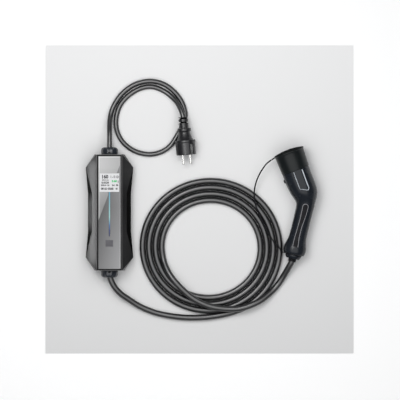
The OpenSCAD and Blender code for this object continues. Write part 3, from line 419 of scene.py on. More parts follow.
# %% Mains cable
MAINS_D = 10
mains_points = [
    (0, 96, 24), (0, 124, 24), (0, 142, 23), (0, 160, 19.5), (0, 180, 12), (2.5, 198, 6.5),
    (10, 217, 5), (26, 239, 5), (50, 256, 5), (80, 263, 5), (108, 257, 5), (131, 240, 5),
    (146, 218, 5), (151.5, 195, 5), (148, 177, 5), (140.5, 163.5, 5), (132, 148.5, 5),
    (120.5, 132.5, 5), (102, 120.5, 5), (76.5, 116.3, 5), (48, 124, 5), (25.5, 142, 5),
    (14, 166, 5), (13.5, 192, 5), (22.5, 217, 5), (41.5, 237, 5), (64, 249, 5),
    (85, 251.5, 5), (107, 244, 5), (124, 231.5, 7.5), (136, 218, 13), (143.2, 204, 18.5),
    (146.9, 192, 21), (148.1, 178, 21),
]
mains_way = smooth_way(mains_points, step=0.003)
for place in mains_way:
    place.z = max(place.z, MAINS_D / 2 * MM)
mains_cable = cable("mains_cord", mains_way, MAINS_D * MM)
print("mains cable", round(way_length(mains_way), 3), "m")

# %% Vehicle cable
VEHICLE_D = 12.2
COIL_MIDDLE = (200, -70)
COIL_REACH, COIL_PITCH, COIL_OVAL = 140.7, 12.9, 2.2
COIL_START, COIL_END = 300, 1620
lead_points = [
    (0, -96, 24), (0, -118, 24), (1.2, -130, 23.9), (6, -142.5, 23), (13.4, -153.8, 20.8),
    (23.6, -164, 17.6), (37, -173.2, 13.4), (60.5, -188.3, 7.6), (92, -201, 6.1),
    (122, -207.5, 6.1), (150, -210.6, 6.1), (172, -211, 6.1), (190, -210.3, 6.1),
    (206, -208.6, 6.1), (220, -206.3, 6.1), (234, -203.4, 6.1), (248, -199.4, 6.1),
    (259, -195.5, 6.1),
]
tail_points = [
    (107.8, -94.7, 6.8), (113.2, -110.5, 11.5), (121.4, -126, 16), (132.8, -140.6, 18.5),
    (150, -158.2, 18.6), (170, -174, 18.6), (201, -188, 18.6), (231, -193, 18.6),
    (257, -193, 18.6), (274, -189, 18.5), (289, -183.2, 18), (303, -176, 15.6),
    (315, -167, 11.6), (327, -156.2, 7.4), (337.5, -144, 6.3), (346.5, -130.5, 8.4),
    (354.3, -117.3, 13.8), (360, -107, 18.4), (364.5, -98, 21.2), (368.1, -83.4, 21.8),
    (373.9, -60.1, 22.8),
]


def coil_place(turned):
    """A place on the coil: its turns tighten by a little more than the cable's width."""
    reach = COIL_REACH - COIL_PITCH * (turned - COIL_START) / 360
    reach += COIL_OVAL * cos(radians(2 * turned))
    a = radians(turned)
    x, y = COIL_MIDDLE
    return (x + reach * cos(a), y + reach * sin(a), VEHICLE_D / 2)


coil_points = [coil_place(turned) for turned in range(COIL_START, COIL_END + 1, 12)]
vehicle_way = smooth_way(lead_points + coil_points + tail_points, step=0.004)
vehicle_cable = cable("vehicle_cord", vehicle_way, VEHICLE_D * MM)
print("vehicle cable", round(way_length(vehicle_way), 3), "m")

# %% Cap tether
TETHER_D = 2.8
tether_points = [
    (345, -78, 22.4), (337, -68, 17.8), (328.6, -58.4, 15), (320, -46, 13.9),
    (313, -32, 13.7), (305.8, -17.2, 13.7), (298.5, -1.5, 13.7), (292.5, 14.5, 13.7),
    (289.6, 31, 13.8), (290, 45, 15.2), (293.2, 60, 19), (299, 74.5, 23.6),
    (306.5, 87.4, 27.4), (314, 97.2, 29.6), (323.6, 105, 30.9),
]
tether_way = smooth_way(tether_points, step=0.002)
tether = as_mesh(cable("tether_cord", tether_way, TETHER_D * MM, rounds=3))
print("tether", round(way_length(tether_way), 3), "m")

# %% [markdown]
# ## Turned pieces
# Gland nuts, the cap and the plug are round about one line. On a lathe they would
# be cut as one profile. Here a circle is drawn at the profile's first point, and
# then it is extruded and resized from one point to the next, which keeps even rows
# of faces that can be shaped further.


# %% Drawing a turned piece
THIN = 0.01
ROWS_MERGE = 0.00003


def turned(name, profile, sides):
    """A round piece about Y: each profile point is a place along Y and a radius, in mm."""
    start, radius = profile[0]
    bpy.ops.mesh.primitive_circle_add(
        vertices=sides, radius=radius * MM, location=(0, start * MM, 0),
        rotation=(pi / 2, 0, 0),
    )
    piece = settle(bpy.context.object)
    piece.name = name
    mode("EDIT")
    select_points()
    for (y0, r0), (y1, r1) in zip(profile, profile[1:]):
        bpy.ops.mesh.extrude_region_move(
            TRANSFORM_OT_translate={"value": (0, (y1 - y0) * MM, 0)}
        )
        share = max(r1, THIN) / max(r0, THIN)
        bpy.ops.transform.resize(value=(share, 1, share), center_override=(0, y1 * MM, 0))
    select_points()
    bpy.ops.mesh.remove_doubles(threshold=ROWS_MERGE)
    bpy.ops.mesh.delete_loose()
    face_outwards()
    mode("OBJECT")
    return piece


def arc(y, r, radius, start, end, steps):
    """Profile points round a corner whose middle is at y and r."""
    points = []
    for k in range(steps + 1):
        a = radians(start + (end - start) * k / steps)
        points.append((y + radius * sin(a), r + radius * cos(a)))
    return points


def select_where(piece, test):
    """Select the vertices for which the test holds."""
    only(piece)
    mode("EDIT")
    select_points("DESELECT")
    mode("OBJECT")
    for vertex in piece.data.vertices:
        vertex.select = test(vertex.co / MM)
    mode("EDIT")


# %% Drawing a block from an outline, and cutting with it
def prism(name, outline, low, high):
    """An outline in mm filled as one face and extruded upwards."""
    mesh = bpy.data.meshes.new(name)
    mesh.from_pydata([(x * MM, y * MM, low * MM) for x, y in outline], [], [range(len(outline))])
    piece = linked(name, mesh)
    edit(
        piece,
        lambda: bpy.ops.mesh.extrude_region_move(
            TRANSFORM_OT_translate={"value": (0, 0, (high - low) * MM)}
        ),
        face_outwards,
    )
    return piece


def cut(piece, tool):
    modify(piece, "BOOLEAN", operation="DIFFERENCE", object=tool, solver="MANIFOLD")
    bpy.data.objects.remove(tool)


# %% [markdown]
# ## Gland nuts
# Each cable leaves the box through a domed nut with grip flutes. The nut is turned
# first. Then two of every four rows of points along its side are pushed towards the
# middle, which makes the flutes, and subdivision rounds them.

# %% Gland nut
NUT_D = 34
NUT_R = NUT_D / 2
NUT_LEN = 14.5
NUT_SIDES = 40
NUT_MOUTH = 7
NUT_BORE = 11.2
NUT_BACK = 12.4
NUT_DOME = 6.5
NUT_PLACE = (0.116, 0.024)
FLUTE_DEPTH = 1.3
FLUTE_TURN, FLUTE_FROM, FLUTE_TO = 36, 8, 19
FLUTE_LOW, FLUTE_OUT = 3, 12
NOTCH_HALF, NOTCH_LOW, NOTCH_HIGH = 2.4, 2.0, 4.6
NOTCH_DEEP = 4
SLACK = 0.05
nut_profile = (
    [(0.2, NUT_BACK), (0.2, NUT_R - 0.9), (1.0, NUT_R), (2.6, NUT_R)]
    + arc(NUT_LEN - NUT_DOME, NUT_R - NUT_DOME, NUT_DOME, 0, 76, 5)
    + [(NUT_LEN, NUT_MOUTH + 0.9), (NUT_LEN - 0.7, NUT_MOUTH), (NUT_LEN - 2.4, NUT_MOUTH)]
    + [(NUT_LEN - 2.4, 9), (NUT_LEN - 4.4, NUT_BORE), (1.6, NUT_BORE)]
    + [(1.6, NUT_BACK), (0.2, NUT_BACK)]
)


def in_flute(co):
    """Whether a point in mm lies on the nut's outside in one of its flutes."""
    turn = degrees(atan2(co.z, co.x)) % FLUTE_TURN
    outside = FLUTE_LOW < co.y < NUT_LEN - 0.5 and hypot(co.x, co.z) > FLUTE_OUT
    return outside and FLUTE_FROM < turn < FLUTE_TO


def in_notch(spot):
    """Whether a face's middle in mm lies on the sides or the floor of the notch."""
    across = abs(spot.x) < NOTCH_HALF + SLACK
    along = NOTCH_LOW - SLACK < spot.y < NOTCH_HIGH + SLACK
    return across and along and NUT_R - NOTCH_DEEP - 1 < spot.z < NUT_R - 1.2


def gland_nut(name, side):
    nut = turned(name, nut_profile, NUT_SIDES)
    select_where(nut, in_flute)
    share = 1 - FLUTE_DEPTH / NUT_R
    bpy.ops.transform.resize(value=(share, 1, share), center_override=(0, 0, 0))
    mode("OBJECT")
    modify(nut, "BEVEL", width=0.3 * MM, segments=2, angle_limit=radians(50))
    modify(nut, "SUBSURF", levels=1, render_levels=1)
    x, low, high = NOTCH_HALF, NOTCH_LOW, NOTCH_HIGH
    notch = [(-x, low), (x, low), (x, high), (-x, high)]
    cut(nut, prism("notch_cut", notch, NUT_R - NOTCH_DEEP, NUT_R + 2))
    # The notch's faces get a matt black, painted shade in the notch
    for face in nut.data.polygons:
        face.material_index = int(in_notch(face.center / MM))
    smooth(nut, 50)
    end = Matrix.Translation((0, side * NUT_PLACE[0], NUT_PLACE[1]))
    return settle(nut, end @ turn_about("Z", 0 if side > 0 else 180))


mains_nut = gland_nut("mains_nut", 1)
vehicle_nut = gland_nut("vehicle_nut", -1)

# %% [markdown]
# ## Mains plug
# The plug is moulded round its cable: a flexible sleeve with two deep grooves, a
# shoulder, and a skirt that widens into the flange and the round head. The head
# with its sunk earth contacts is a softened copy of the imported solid, cut off behind
# the flange. The rest is turned anew, because its soft steps are what shows most.

# %% Plug
PLUG_PLACE = (147, 190.8, 21)
PLUG_HEADING = 185
PLUG_ROLL = -40
SKIRT_END = 46.6
plug_frame = frame_at(PLUG_PLACE, PLUG_HEADING, "Y", PLUG_ROLL)
plug_shell = copy_of("plug_body", "plug_shell")
plug_cut = plug_frame @ Vector((0, SKIRT_END * MM, 0))
plug_way = plug_frame.to_3x3() @ Vector((0, 1, 0))
edit(
    plug_shell,
    lambda: bpy.ops.mesh.bisect(
        plane_co=plug_cut, plane_no=plug_way, use_fill=True, clear_inner=True
    ),
)
round_edges(plug_shell, 0.5, segments=3, angle=28)
SLEEVE_BORE = 5.1
GROOVES, GROOVE_LEN, GROOVE_FLOOR = (1.3, 9.2), 3.1, 6.3
sleeve_profile = [(0.2, SLEEVE_BORE), (0.2, 8.6), (0.6, 9.2)]
for low in GROOVES:
    sleeve_profile += [(low, 9.5), (low + 0.4, 9.1), (low + 0.6, GROOVE_FLOOR)]
    sleeve_profile += [(low + 2.4, GROOVE_FLOOR), (low + 2.7, 9.1), (low + GROOVE_LEN, 9.5)]
sleeve_profile += [(21.6, 9.6), (22.0, 10.0)]
sleeve_profile += arc(24.2, 11.4, 2.2, -80, 0, 5) + arc(27.6, 11.4, 2.2, 0, 70, 5)
sleeve_profile += [(30.2, 11.7), (32, 11.6), (35, 12.3), (39, 13.4), (43, 14.9), (45.6, 16.3)]
sleeve_profile += [(SKIRT_END + 0.4, 17.0), (SKIRT_END + 0.4, SLEEVE_BORE), (0.2, SLEEVE_BORE)]
plug_sleeve = turned("plug_sleeve", sleeve_profile, 48)
smooth(plug_sleeve, 40)
# The groove floors get a matt black, painted shade in the grooves
for face in plug_sleeve.data.polygons:
    spot = face.center / MM
    in_groove = any(low < spot.y < low + GROOVE_LEN for low in GROOVES)
    face.material_index = int(in_groove and hypot(spot.x, spot.z) < 9)
settle(plug_sleeve, plug_frame)
plug_leaves = softened("plug_earth_contacts", "plug_leaves", 0.15)
plug_prongs = softened("plug_pins", "plug_prongs", 0.1, angle=50)

# %% [markdown]
# ## The connector's own frame
# The connector lies turned and leaning on the surface. Its pieces are made in its
# own frame, with Y out of the nose and X towards its back, and then set down.

# %% Frame and sizes
CONNECTOR_PLACE = (372, 84.3, 29.25)
CONNECTOR_LEAN = 2.7
CONNECTOR_HEADING = 20.2
connector_frame = frame_at(CONNECTOR_PLACE, CONNECTOR_HEADING, "X", CONNECTOR_LEAN)
HEAD_D = 56
GRIP_TURN = 34
ELBOW_LEN = 65
GRIP_LEN = 110
GRIP_W, GRIP_T = 34.8, 33.2
FLARE_W, FLARE_T = 45.6, 43.2
GRIP_WALL = 2.6
COLLAR_NECK = 11.15

# %% [markdown]
# ## The grip
# The grip runs from the round head through the elbow into a slimmer handle that
# flares at its end. Such a form is lofted: rings stand at stations along it, each
# with its own place, turn and size, and neighbours are bridged. The same rings made
# smaller by the wall, in the other order, close it into a shell, and a cut at mid
# height leaves the two mouldings that the real one has.

# %% Stations of the grip
elbow_rows = [
    (0, 0, 0, 1), (0, 0.19, 0, 1), (0.2, 0.37, 0, 1), (0.8, 0.55, 3, 0.96),
    (1.2, 0.71, 8, 0.92), (0.9, 0.83, 10, 0.7), (-0.4, 0.94, 13, 0.42), (-3.4, 1.06, 20, 0.13),
    (-7.7, 1.17, 28, 0.05), (-12.9, 1.29, 32.5, 0.02),
]
handle_rows = [
    (0.31, 0), (0.45, 0), (0.6, 0), (0.71, 0.05), (0.77, 0.35), (0.835, 0.8), (0.89, 1),
    (0.945, 1), (0.98, 0.8), (1, 0.5),
]
handle_way = (-sin(radians(GRIP_TURN)), -cos(radians(GRIP_TURN)))


def station(x, y, turn, width, thickness, share):
    """Place, turn in degrees, half width and half thickness in mm: from the grip's own
    size at a share of 0 to the given size at 1."""
    wide = GRIP_W + (width - GRIP_W) * share
    thick = GRIP_T + (thickness - GRIP_T) * share
    return (x, y, turn, wide / 2, thick / 2)


outer = [
    station(x, -y * ELBOW_LEN, turn, HEAD_D, HEAD_D, share) for x, y, turn, share in elbow_rows
]
for along, share in handle_rows:
    x = along * GRIP_LEN * handle_way[0]
    y = -ELBOW_LEN + along * GRIP_LEN * handle_way[1]
    outer.append(station(x, y, GRIP_TURN, FLARE_W, FLARE_T, share))

# %% Lofting
RING_SIDES = 32


def lofted(name, rings):
    """Bridge a closed row of rings, the last one back to the first."""
    mesh = bpy.data.meshes.new(name)
    piece = linked(name, mesh)
    only(piece)
    mode("EDIT")
    bpy.ops.mesh.select_mode(type="EDGE")
    for x, y, turn, wide, thick in rings:
        bpy.ops.mesh.primitive_circle_add(
            vertices=RING_SIDES, radius=wide * MM, location=(x * MM, y * MM, 0),
            rotation=(pi / 2, 0, -radians(turn)),
        )
        bpy.ops.transform.resize(value=(1, 1, thick / wide), center_override=(0, 0, 0))
    count = len(rings)
    for k in range(count):
        select_points("DESELECT")
        work = bmesh.from_edit_mesh(mesh)
        work.verts.ensure_lookup_table()
        pair = {k, (k + 1) % count}
        for edge in work.edges:
            owners = {vert.index // RING_SIDES for vert in edge.verts}
            edge.select_set(len(owners) == 1 and owners <= pair)
        bmesh.update_edit_mesh(mesh)
        bpy.ops.mesh.bridge_edge_loops()
    face_outwards()
    bpy.ops.mesh.select_mode(type="VERT")
    mode("OBJECT")
    return piece


END_WALL = 3
END_INSET = 4.6
end_x, end_y = outer[-1][:2]
stop = (end_x - END_WALL * handle_way[0], end_y - END_WALL * handle_way[1])
inner = [(x, y, turn, wide - GRIP_WALL, thick - GRIP_WALL) for x, y, turn, wide, thick in outer]
neck_out = (end_x, end_y, GRIP_TURN, COLLAR_NECK, COLLAR_NECK)
neck_in = (*stop, GRIP_TURN, COLLAR_NECK, COLLAR_NECK)
inside_end = (*stop, GRIP_TURN, FLARE_W / 2 - END_INSET, FLARE_T / 2 - END_INSET)
rings = outer + [neck_out, neck_in, inside_end] + inner[-3::-1]
grip_form = lofted("grip_form", rings)
print("grip rings", len(rings))

# %% [markdown]
# Subdivision would round the mouth, the end hole and the end face, where the real
# moulding is crisp. Edges can hold out against it by a crease, so the rings there
# are creased before the surface is subdivided.

# %% Creases and subdivision
crisp = {0: 1.0, len(outer) - 1: 0.35, len(outer): 1.0, len(outer) + 1: 1.0,
         len(outer) + 2: 0.8, len(rings) - 1: 1.0}
creases = grip_form.data.attributes.new("crease_edge", "FLOAT", "EDGE")
for line in grip_form.data.edges:
    owners = {v // RING_SIDES for v in line.vertices}
    if len(owners) == 1:
        creases.data[line.index].value = crisp.get(owners.pop(), 0.0)
modify(grip_form, "SUBSURF", levels=2, render_levels=2)


ABOVE_GRIP = 0.06


def surface_height(x, y):
    """Height of the grip's upper surface in the connector's frame, in mm."""
    above = Vector((x * MM, y * MM, ABOVE_GRIP))
    hit, place = grip_form.ray_cast(above, Vector((0, 0, -1)))[:2]
    return place.z / MM if hit else 0.0


# %% Recessed side panels
PANEL_X = 3.5
PANEL_HALF = 8.5
PANEL_LEN = 44
PANEL_DROP = 1.8
PANEL_CORNER = 3.5
PANEL_SLANT = 5.5
CORNER_STEPS = 6


def u_outline(wider, open_end):
    """Points down one side of the recessed panel, round its two corners and up the other."""
    half, length = PANEL_HALF + wider, PANEL_LEN + wider
    points = [(PANEL_X - half, open_end), (PANEL_X - half, -length / 2)]
    for side, start, rise in ((-1, 180, PANEL_SLANT), (1, 270, 0)):
        middle = PANEL_X + side * (half - PANEL_CORNER)
        foot = PANEL_CORNER - length + rise
        for k in range(CORNER_STEPS + 1):
            a = radians(start + 90 * k / CORNER_STEPS)
            points.append((middle + PANEL_CORNER * cos(a), foot + PANEL_CORNER * sin(a)))
    return points + [(PANEL_X + half, -length / 2), (PANEL_X + half, open_end)]


panel_outline = u_outline(0, 1.0)
cut(grip_form, prism("panel_cut", panel_outline, HEAD_D / 2 - PANEL_DROP, HEAD_D))
cut(grip_form, prism("panel_cut", panel_outline, -HEAD_D, -HEAD_D / 2 + PANEL_DROP))

# %% Cutting the grip into its two mouldings
SPLIT_HALF = 0.04


def half_of(piece, name, side):
    half = linked(name, piece.data.copy())
    edit(
        half,
        lambda: bpy.ops.mesh.bisect(
            plane_co=(0, 0, side * SPLIT_HALF * MM), plane_no=(0, 0, -side), use_fill=True,
            clear_outer=True,
        ),
    )
    return smooth(half, 35)


upper_grip = half_of(grip_form, "upper_grip", 1)
lower_grip = half_of(grip_form, "lower_grip", -1)
print("grip halves", len(upper_grip.data.polygons), len(lower_grip.data.polygons))

# %% [markdown]
# ## Beads and pads on the grip
# A fine raised bead follows the edge of the recessed panel, and another goes round
# the soft pad on the handle. They are thin real tubes laid on the surface and not
# only a bump, and their light grey colour is a painted highlight that shows them as
# bright lines.


# %% Tubes laid on the surface
BEAD = 1.3
BEAD_SINK = 0.35


def bead(name, points, thick, share_at=None):
    """A round bead along points in mm in the connector's frame, a third sunk in the grip."""
    rise = thick / 2 * (1 - 2 * BEAD_SINK)
    way = smooth_way([(x, y, surface_height(x, y) + rise) for x, y in points], step=0.0012)
    piece = cable(name, way, thick * MM, rounds=3)
    if share_at:
        for point in piece.data.splines[0].points:
            point.radius = share_at(point.co.x / MM, point.co.y / MM)
    return as_mesh(piece)


def mirrored_below(piece, name, sink=0.0):
    """A copy on the grip's lower side, sunk a little where the grip rests on it."""
    low = linked(name, piece.data.copy())
    low.scale = (1, 1, -1)
    low.location = (0, 0, sink * MM)
    settle(low)
    edit(low, face_outwards)
    return low


# %% Bead round the recessed panel
PANEL_BEAD = BEAD + 0.4
PANEL_BEAD_OUT, PANEL_BEAD_END = 0.3, -1.5
BOLDER, FINER = 0.32, 0.35


def panel_bead_share(x, y):
    """The bead is boldest at the head's back and finest round the panel's foot."""
    side = 1 + BOLDER * (x - PANEL_X) / PANEL_HALF
    foot = min(1, max(0, (PANEL_CORNER + PANEL_SLANT - PANEL_LEN - y) / PANEL_CORNER))
    return side - FINER * foot


panel_line = u_outline(PANEL_BEAD_OUT, PANEL_BEAD_END)
panel_bead = bead("panel_bead_upper", panel_line, PANEL_BEAD, share_at=panel_bead_share)

# %% Bead round the pad
PAD_TOP, PAD_ROUND, PAD_LOW = 6.5, 11.5, 94
PAD_HALF, PAD_SWELL, SWELL_START, SWELL_LEN = 4.5, 0.8, 10, 92
BOW_START, BOW_LEN = 22, 96
PAD_STEPS, PAD_ROUND_STEPS = 18, 8
HANDLE_TURN = Matrix.Rotation(radians(180 - GRIP_TURN), 2)


def on_handle(x, along):
    """A place on the handle, from across and along, in the connector's frame."""
    turn = HANDLE_TURN @ Vector((x, along))
    return (turn.x, turn.y - ELBOW_LEN)


def pad_middle(along):
    """The pad bows once towards the handle's front."""
    return 1 - cos(radians(360 * (along - BOW_START) / BOW_LEN))


def pad_half(along):
    """The pad is slimmest half way down."""
    return PAD_HALF + PAD_SWELL * cos(radians(360 * (along - SWELL_START) / SWELL_LEN))


def pad_line():
    """Up one side of the pad, round its top and down the other side."""
    sides = []
    for k in range(PAD_STEPS + 1):
        along = PAD_LOW + (PAD_ROUND - PAD_LOW) * k / PAD_STEPS
        sides.append((pad_middle(along), pad_half(along), along))
    points = [on_handle(middle + half, along) for middle, half, along in sides]
    middle, half, along = sides[-1]
    for k in range(1, PAD_ROUND_STEPS):
        a = pi * k / PAD_ROUND_STEPS
        top = along - (PAD_ROUND - PAD_TOP) * sin(a)
        points.append(on_handle(middle + half * cos(a), top))
    return points + [on_handle(middle - half, along) for middle, half, along in sides[::-1]]


pad_bead = bead("pad_bead", pad_line(), BEAD)

# %% Soft pads
PAD_PROUD = 0.6
soft_pad = prism("soft_pad_upper", pad_line(), 0, GRIP_T)
cushion_form = linked("cushion_form", grip_form.data.copy())
modify(cushion_form, "DISPLACE", strength=PAD_PROUD * MM, mid_level=0.0)
modify(soft_pad, "BOOLEAN", operation="INTERSECT", object=cushion_form, solver="EXACT")
bpy.data.objects.remove(cushion_form)
smooth(soft_pad, 40)
print("pad faces", len(soft_pad.data.polygons))

# %% [markdown]
# A small domed catch stands out of the head's front, where the inlet's latch takes
# hold. It is a ball drawn flat, more than half of it inside the head.

# %% Catch
PIP_PLACE = (-24.4, -14, 0)
PIP_D = 12
PIP_FLAT = (0.97, 0.9, 0.9)
bpy.ops.mesh.primitive_uv_sphere_add(
    segments=32, ring_count=16, radius=PIP_D / 2 * MM, location=Vector(PIP_PLACE) * MM
)
catch_pip = bpy.context.object
catch_pip.name = "catch_pip"
catch_pip.scale = PIP_FLAT
settle(catch_pip)
smooth(catch_pip, 60)

# %% Set the grip down
REST_SINK = 0.55
soft_pad_low = mirrored_below(soft_pad, "soft_pad_lower")
bead_pairs = [
    (piece, mirrored_below(piece, piece.name + "_low", REST_SINK))
    for piece in (pad_bead, panel_bead)
]
grip_pieces = [upper_grip, lower_grip, soft_pad, soft_pad_low, catch_pip]
grip_pieces += [piece for pair in bead_pairs for piece in pair]
for piece in grip_pieces:
    settle(piece, connector_frame)
bpy.data.objects.remove(grip_form)

# %% [markdown]
# ## Protective cap
# The cap is a flared cup with a domed end and a small lug for its tether. It is
# turned like the nuts, with a rolled rim, and slides over the contact nose.

# %% Cap
CAP_R = 31
CAP_LEN = 40
CAP_DOME = 4
CAP_INNER = 26.6
NOSE_ROOM = 36
HEAD_R = HEAD_D / 2
DOME_STEPS = 9
dome_radius = (CAP_R**2 + CAP_DOME**2) / (2 * CAP_DOME)
dome = []
for k in range(DOME_STEPS + 1):
    reach = (CAP_R - 1.2) * (1 - k / DOME_STEPS)
    dome.append((CAP_LEN + CAP_DOME - dome_radius + sqrt(dome_radius**2 - reach**2), reach))
cap_profile = [
    (1.3, CAP_INNER), (0.5, CAP_INNER + 0.5), (0.3, HEAD_R - 0.5), (0.8, HEAD_R),
    (1.6, HEAD_R + 0.12), (18, HEAD_R + 1.1), (CAP_LEN - 4.5, CAP_R - 1.25),
    (CAP_LEN - 3.0, CAP_R - 0.95), (CAP_LEN - 2.4, CAP_R - 0.4), (CAP_LEN - 1.9, CAP_R),
    (CAP_LEN - 0.5, CAP_R), *dome, (NOSE_ROOM, 0.0), (NOSE_ROOM, CAP_INNER - 1.2),
    (NOSE_ROOM - 1.2, CAP_INNER), (1.3, CAP_INNER),
]
cap_cup = turned("cap_cup", cap_profile, 96)
smooth(cap_cup, 32)
LUG = [(3 - CAP_R, CAP_LEN - 0.6), (3 - CAP_R, CAP_LEN - 3), (-37.3, 35.0), (-38.1, 37.4)]
cap_lug = prism("cap_lug", LUG, -3, 3)
modify(cap_lug, "BEVEL", width=0.5 * MM, segments=3)
smooth(cap_lug, 40)
join([cap_cup, cap_lug])
for face in cap_cup.data.polygons:
    face.material_index = int(face.center.y > (CAP_LEN - 0.2) * MM)
settle(cap_cup, connector_frame)

# %% Softened pieces at the handle's end and on the nose
collar = softened("end_collar", "collar", 0.4)
boot = softened("cable_boot", "boot", 0.3)
ring_tab = softened("tether_ring", "ring_tab", 0.4)
nose = softened("contact_nose", "nose", 0.3)

# %% [markdown]
# ## Finishes
# Moulded plastic is never one flat colour: a fine grain breaks up its shine, and
# its tone drifts a little. One helper makes such a finish from a noise for the
# grain and a slower one for the drift, and each finish is that helper with its
# own numbers. The helpers before it add one step each to a material.


# %% Small steps in a material
def feed(made, inputs):
    """Give a node numbers, colours or other nodes' results for its inputs."""
    for key, value in inputs.items():
        if isinstance(value, bpy.types.NodeSocket):
            made.id_data.links.new(value, made.inputs[key])
        else:
            made.inputs[key].default_value = value
    return made


def step(kind, inputs, **settings):
    """A new node of a kind in its inputs' tree, set and fed."""
    tree = next(v.id_data for v in inputs.values() if isinstance(v, bpy.types.NodeSocket))
    made = tree.nodes.new("ShaderNode" + kind)
    for key, value in settings.items():
        setattr(made, key, value)
    return feed(made, inputs)


def sum_of(operation, *values):
    return step("Math", dict(enumerate(values)), operation=operation).outputs["Value"]


def ramp(value, low, high, first, second):
    """Map a result from one range to another, held at both ends."""
    ends = {"From Min": low, "From Max": high, "To Min": first, "To Max": second}
    return step("MapRange", {"Value": value, **ends}).outputs["Result"]


def mixed(share, first, second):
    """Mix two colours by a share."""
    inputs = {"Factor": share, "A": first, "B": second}
    return step("Mix", inputs, data_type="RGBA").outputs["Result"]


def scaled(colour, by):
    made = step("VectorMath", {0: colour, "Scale": by}, operation="SCALE")
    return made.outputs["Vector"]


def own_place(tree):
    """The place on the piece itself."""
    return tree.nodes.new("ShaderNodeTexCoord").outputs["Object"]


def across_along(tree):
    parts = step("SeparateXYZ", {"Vector": own_place(tree)}).outputs
    return parts["X"], parts["Y"]


def opened(made):
    """A material's tree and its shader."""
    return made.node_tree, made.node_tree.nodes["Principled BSDF"]


# %% Finish helper
DRIFT_SCALE = 35
GRAIN_HEIGHT = 0.0004
ROUGH_DRIFT = 0.05


def finish(name, colour, rough, grain=900, depth=0.1, drift=0.08, metal=0.0, level=0.5):
    made = bpy.data.materials.new(name)
    made.use_nodes = True
    tree, shader = opened(made)
    place = own_place(tree)
    fine = step("TexNoise", {"Vector": place, "Scale": grain, "Detail": 3})
    slow = step("TexNoise", {"Vector": place, "Scale": DRIFT_SCALE, "Detail": 2})
    slow = slow.outputs["Fac"]
    height = {"Strength": depth, "Distance": GRAIN_HEIGHT, "Height": fine.outputs["Fac"]}
    bump = step("Bump", height)
    tone = step("ValToRGB", {"Fac": slow}, name="tone")
    low, high = tone.color_ramp.elements
    low.position, high.position = 0.3, 0.7
    low.color = [c * (1 - drift) for c in colour] + [1]
    high.color = [min(1, c * (1 + drift)) for c in colour] + [1]
    gloss = ramp(slow, 0, 1, max(0, rough - ROUGH_DRIFT), rough + ROUGH_DRIFT)
    feed(shader, {
        "Base Color": tone.outputs["Color"], "Normal": bump.outputs["Normal"],
        "Roughness": gloss, "Metallic": metal, "Specular IOR Level": level,
    })
    return made


def paint(piece, made):
    """Put a finish in a piece's first place."""
    if piece.data.materials:
        piece.data.materials[0] = made
    else:
        piece.data.materials.append(made)


box_plastic = finish("box plastic", (0.011, 0.011, 0.012), 0.36, depth=0.08, level=0.25)
waist_plastic_painted_shade = finish("waist plastic with painted shade", (0.007, 0.007, 0.008), 0.36, depth=0.08, level=0.28)
# The rim's lighter colour is a painted highlight, its higher gloss is real
rim_plastic_painted_highlight = finish("rim plastic with painted highlight", (0.022, 0.022, 0.023), 0.3, depth=0.05, level=0.9)
# A matt black that paints shade on the box's sides, in the nut notches and in the plug's grooves
painted_shade_black = finish("painted shade black", (0.002, 0.002, 0.002), 0.85, depth=0.05, level=0.06)
grip_plastic = finish("grip plastic", (0.010, 0.013, 0.018), 0.26, depth=0.03, level=0.36)
cap_plastic = finish("cap plastic", (0.005, 0.0075, 0.008), 0.36, depth=0.06, level=0.3)
cap_end_plastic = finish("cap end plastic", (0.005, 0.0065, 0.0065), 0.8, depth=0.06, level=0.04)
gland_plastic = finish("gland plastic", (0.008, 0.012, 0.020), 0.32, depth=0.04, level=0.75)
sheath = finish("cable sheath", (0.005, 0.005, 0.006), 0.31, grain=500, depth=0.05, level=1.0)
feed(opened(sheath)[1], {"IOR": 1.58})
plug_plastic = finish("plug plastic", (0.008, 0.008, 0.010), 0.33, depth=0.06, level=0.7)
soft_rubber = finish("soft rubber", (0.007, 0.007, 0.009), 0.5, depth=0.15, level=0.15)
# The beads' light grey colours are painted highlights
bead_painted_highlight = finish("bead painted highlight", (0.60, 0.64, 0.69), 0.25, depth=0.0)
pad_bead_painted_highlight = finish("pad bead painted highlight", (0.30, 0.30, 0.32), 0.3, depth=0.02)
bright_pin = finish("bright pin", (0.82, 0.82, 0.80), 0.2, depth=0.02, metal=1.0)
finish("screw steel", (0.55, 0.56, 0.58), 0.3, depth=0.04, metal=1.0)
contact_metal = finish("contact metal", (0.75, 0.66, 0.5), 0.25, depth=0.03, metal=1.0)
finish("circuit board", (0.02, 0.16, 0.07), 0.35, drift=0.2)
finish("relay blue", (0.03, 0.09, 0.38), 0.35)
finish("module black", (0.03, 0.03, 0.033), 0.5)
finish("terminal green", (0.04, 0.3, 0.12), 0.4)
finish("wire plastic", (0.25, 0.12, 0.04), 0.4)
screen_white = finish("screen white", (0.70, 0.70, 0.71), 0.25, depth=0.0, drift=0.01)
ink_dark = finish("dark figures", (0.02, 0.02, 0.022), 0.5, depth=0.0, drift=0.01)
ink_green = finish("green figures", (0.05, 0.5, 0.16), 0.5, depth=0.0, drift=0.01)
key_print = finish("key print", (0.124, 0.121, 0.132), 0.4, depth=0.0, drift=0.01, level=0.1)


# %% [markdown]
# At the box's left, the faces below the waist crease keep the covers' gloss only in
# their middle and turn matt and black towards both ends, the black a painted shade,
# so their roughness and colour follow the distance along the box. At its right they
# are a matt black throughout, as painted shade.

# %% Waist finish with painted shade
WAIST_FADE = (0.016, 0.038)
WAIST_ROUGH = (0.36, 0.95)
WAIST_PAINTED_SHADE = (1.0, 0.15)
tree, shader = opened(waist_plastic_painted_shade)
far = sum_of("ABSOLUTE", across_along(tree)[1])
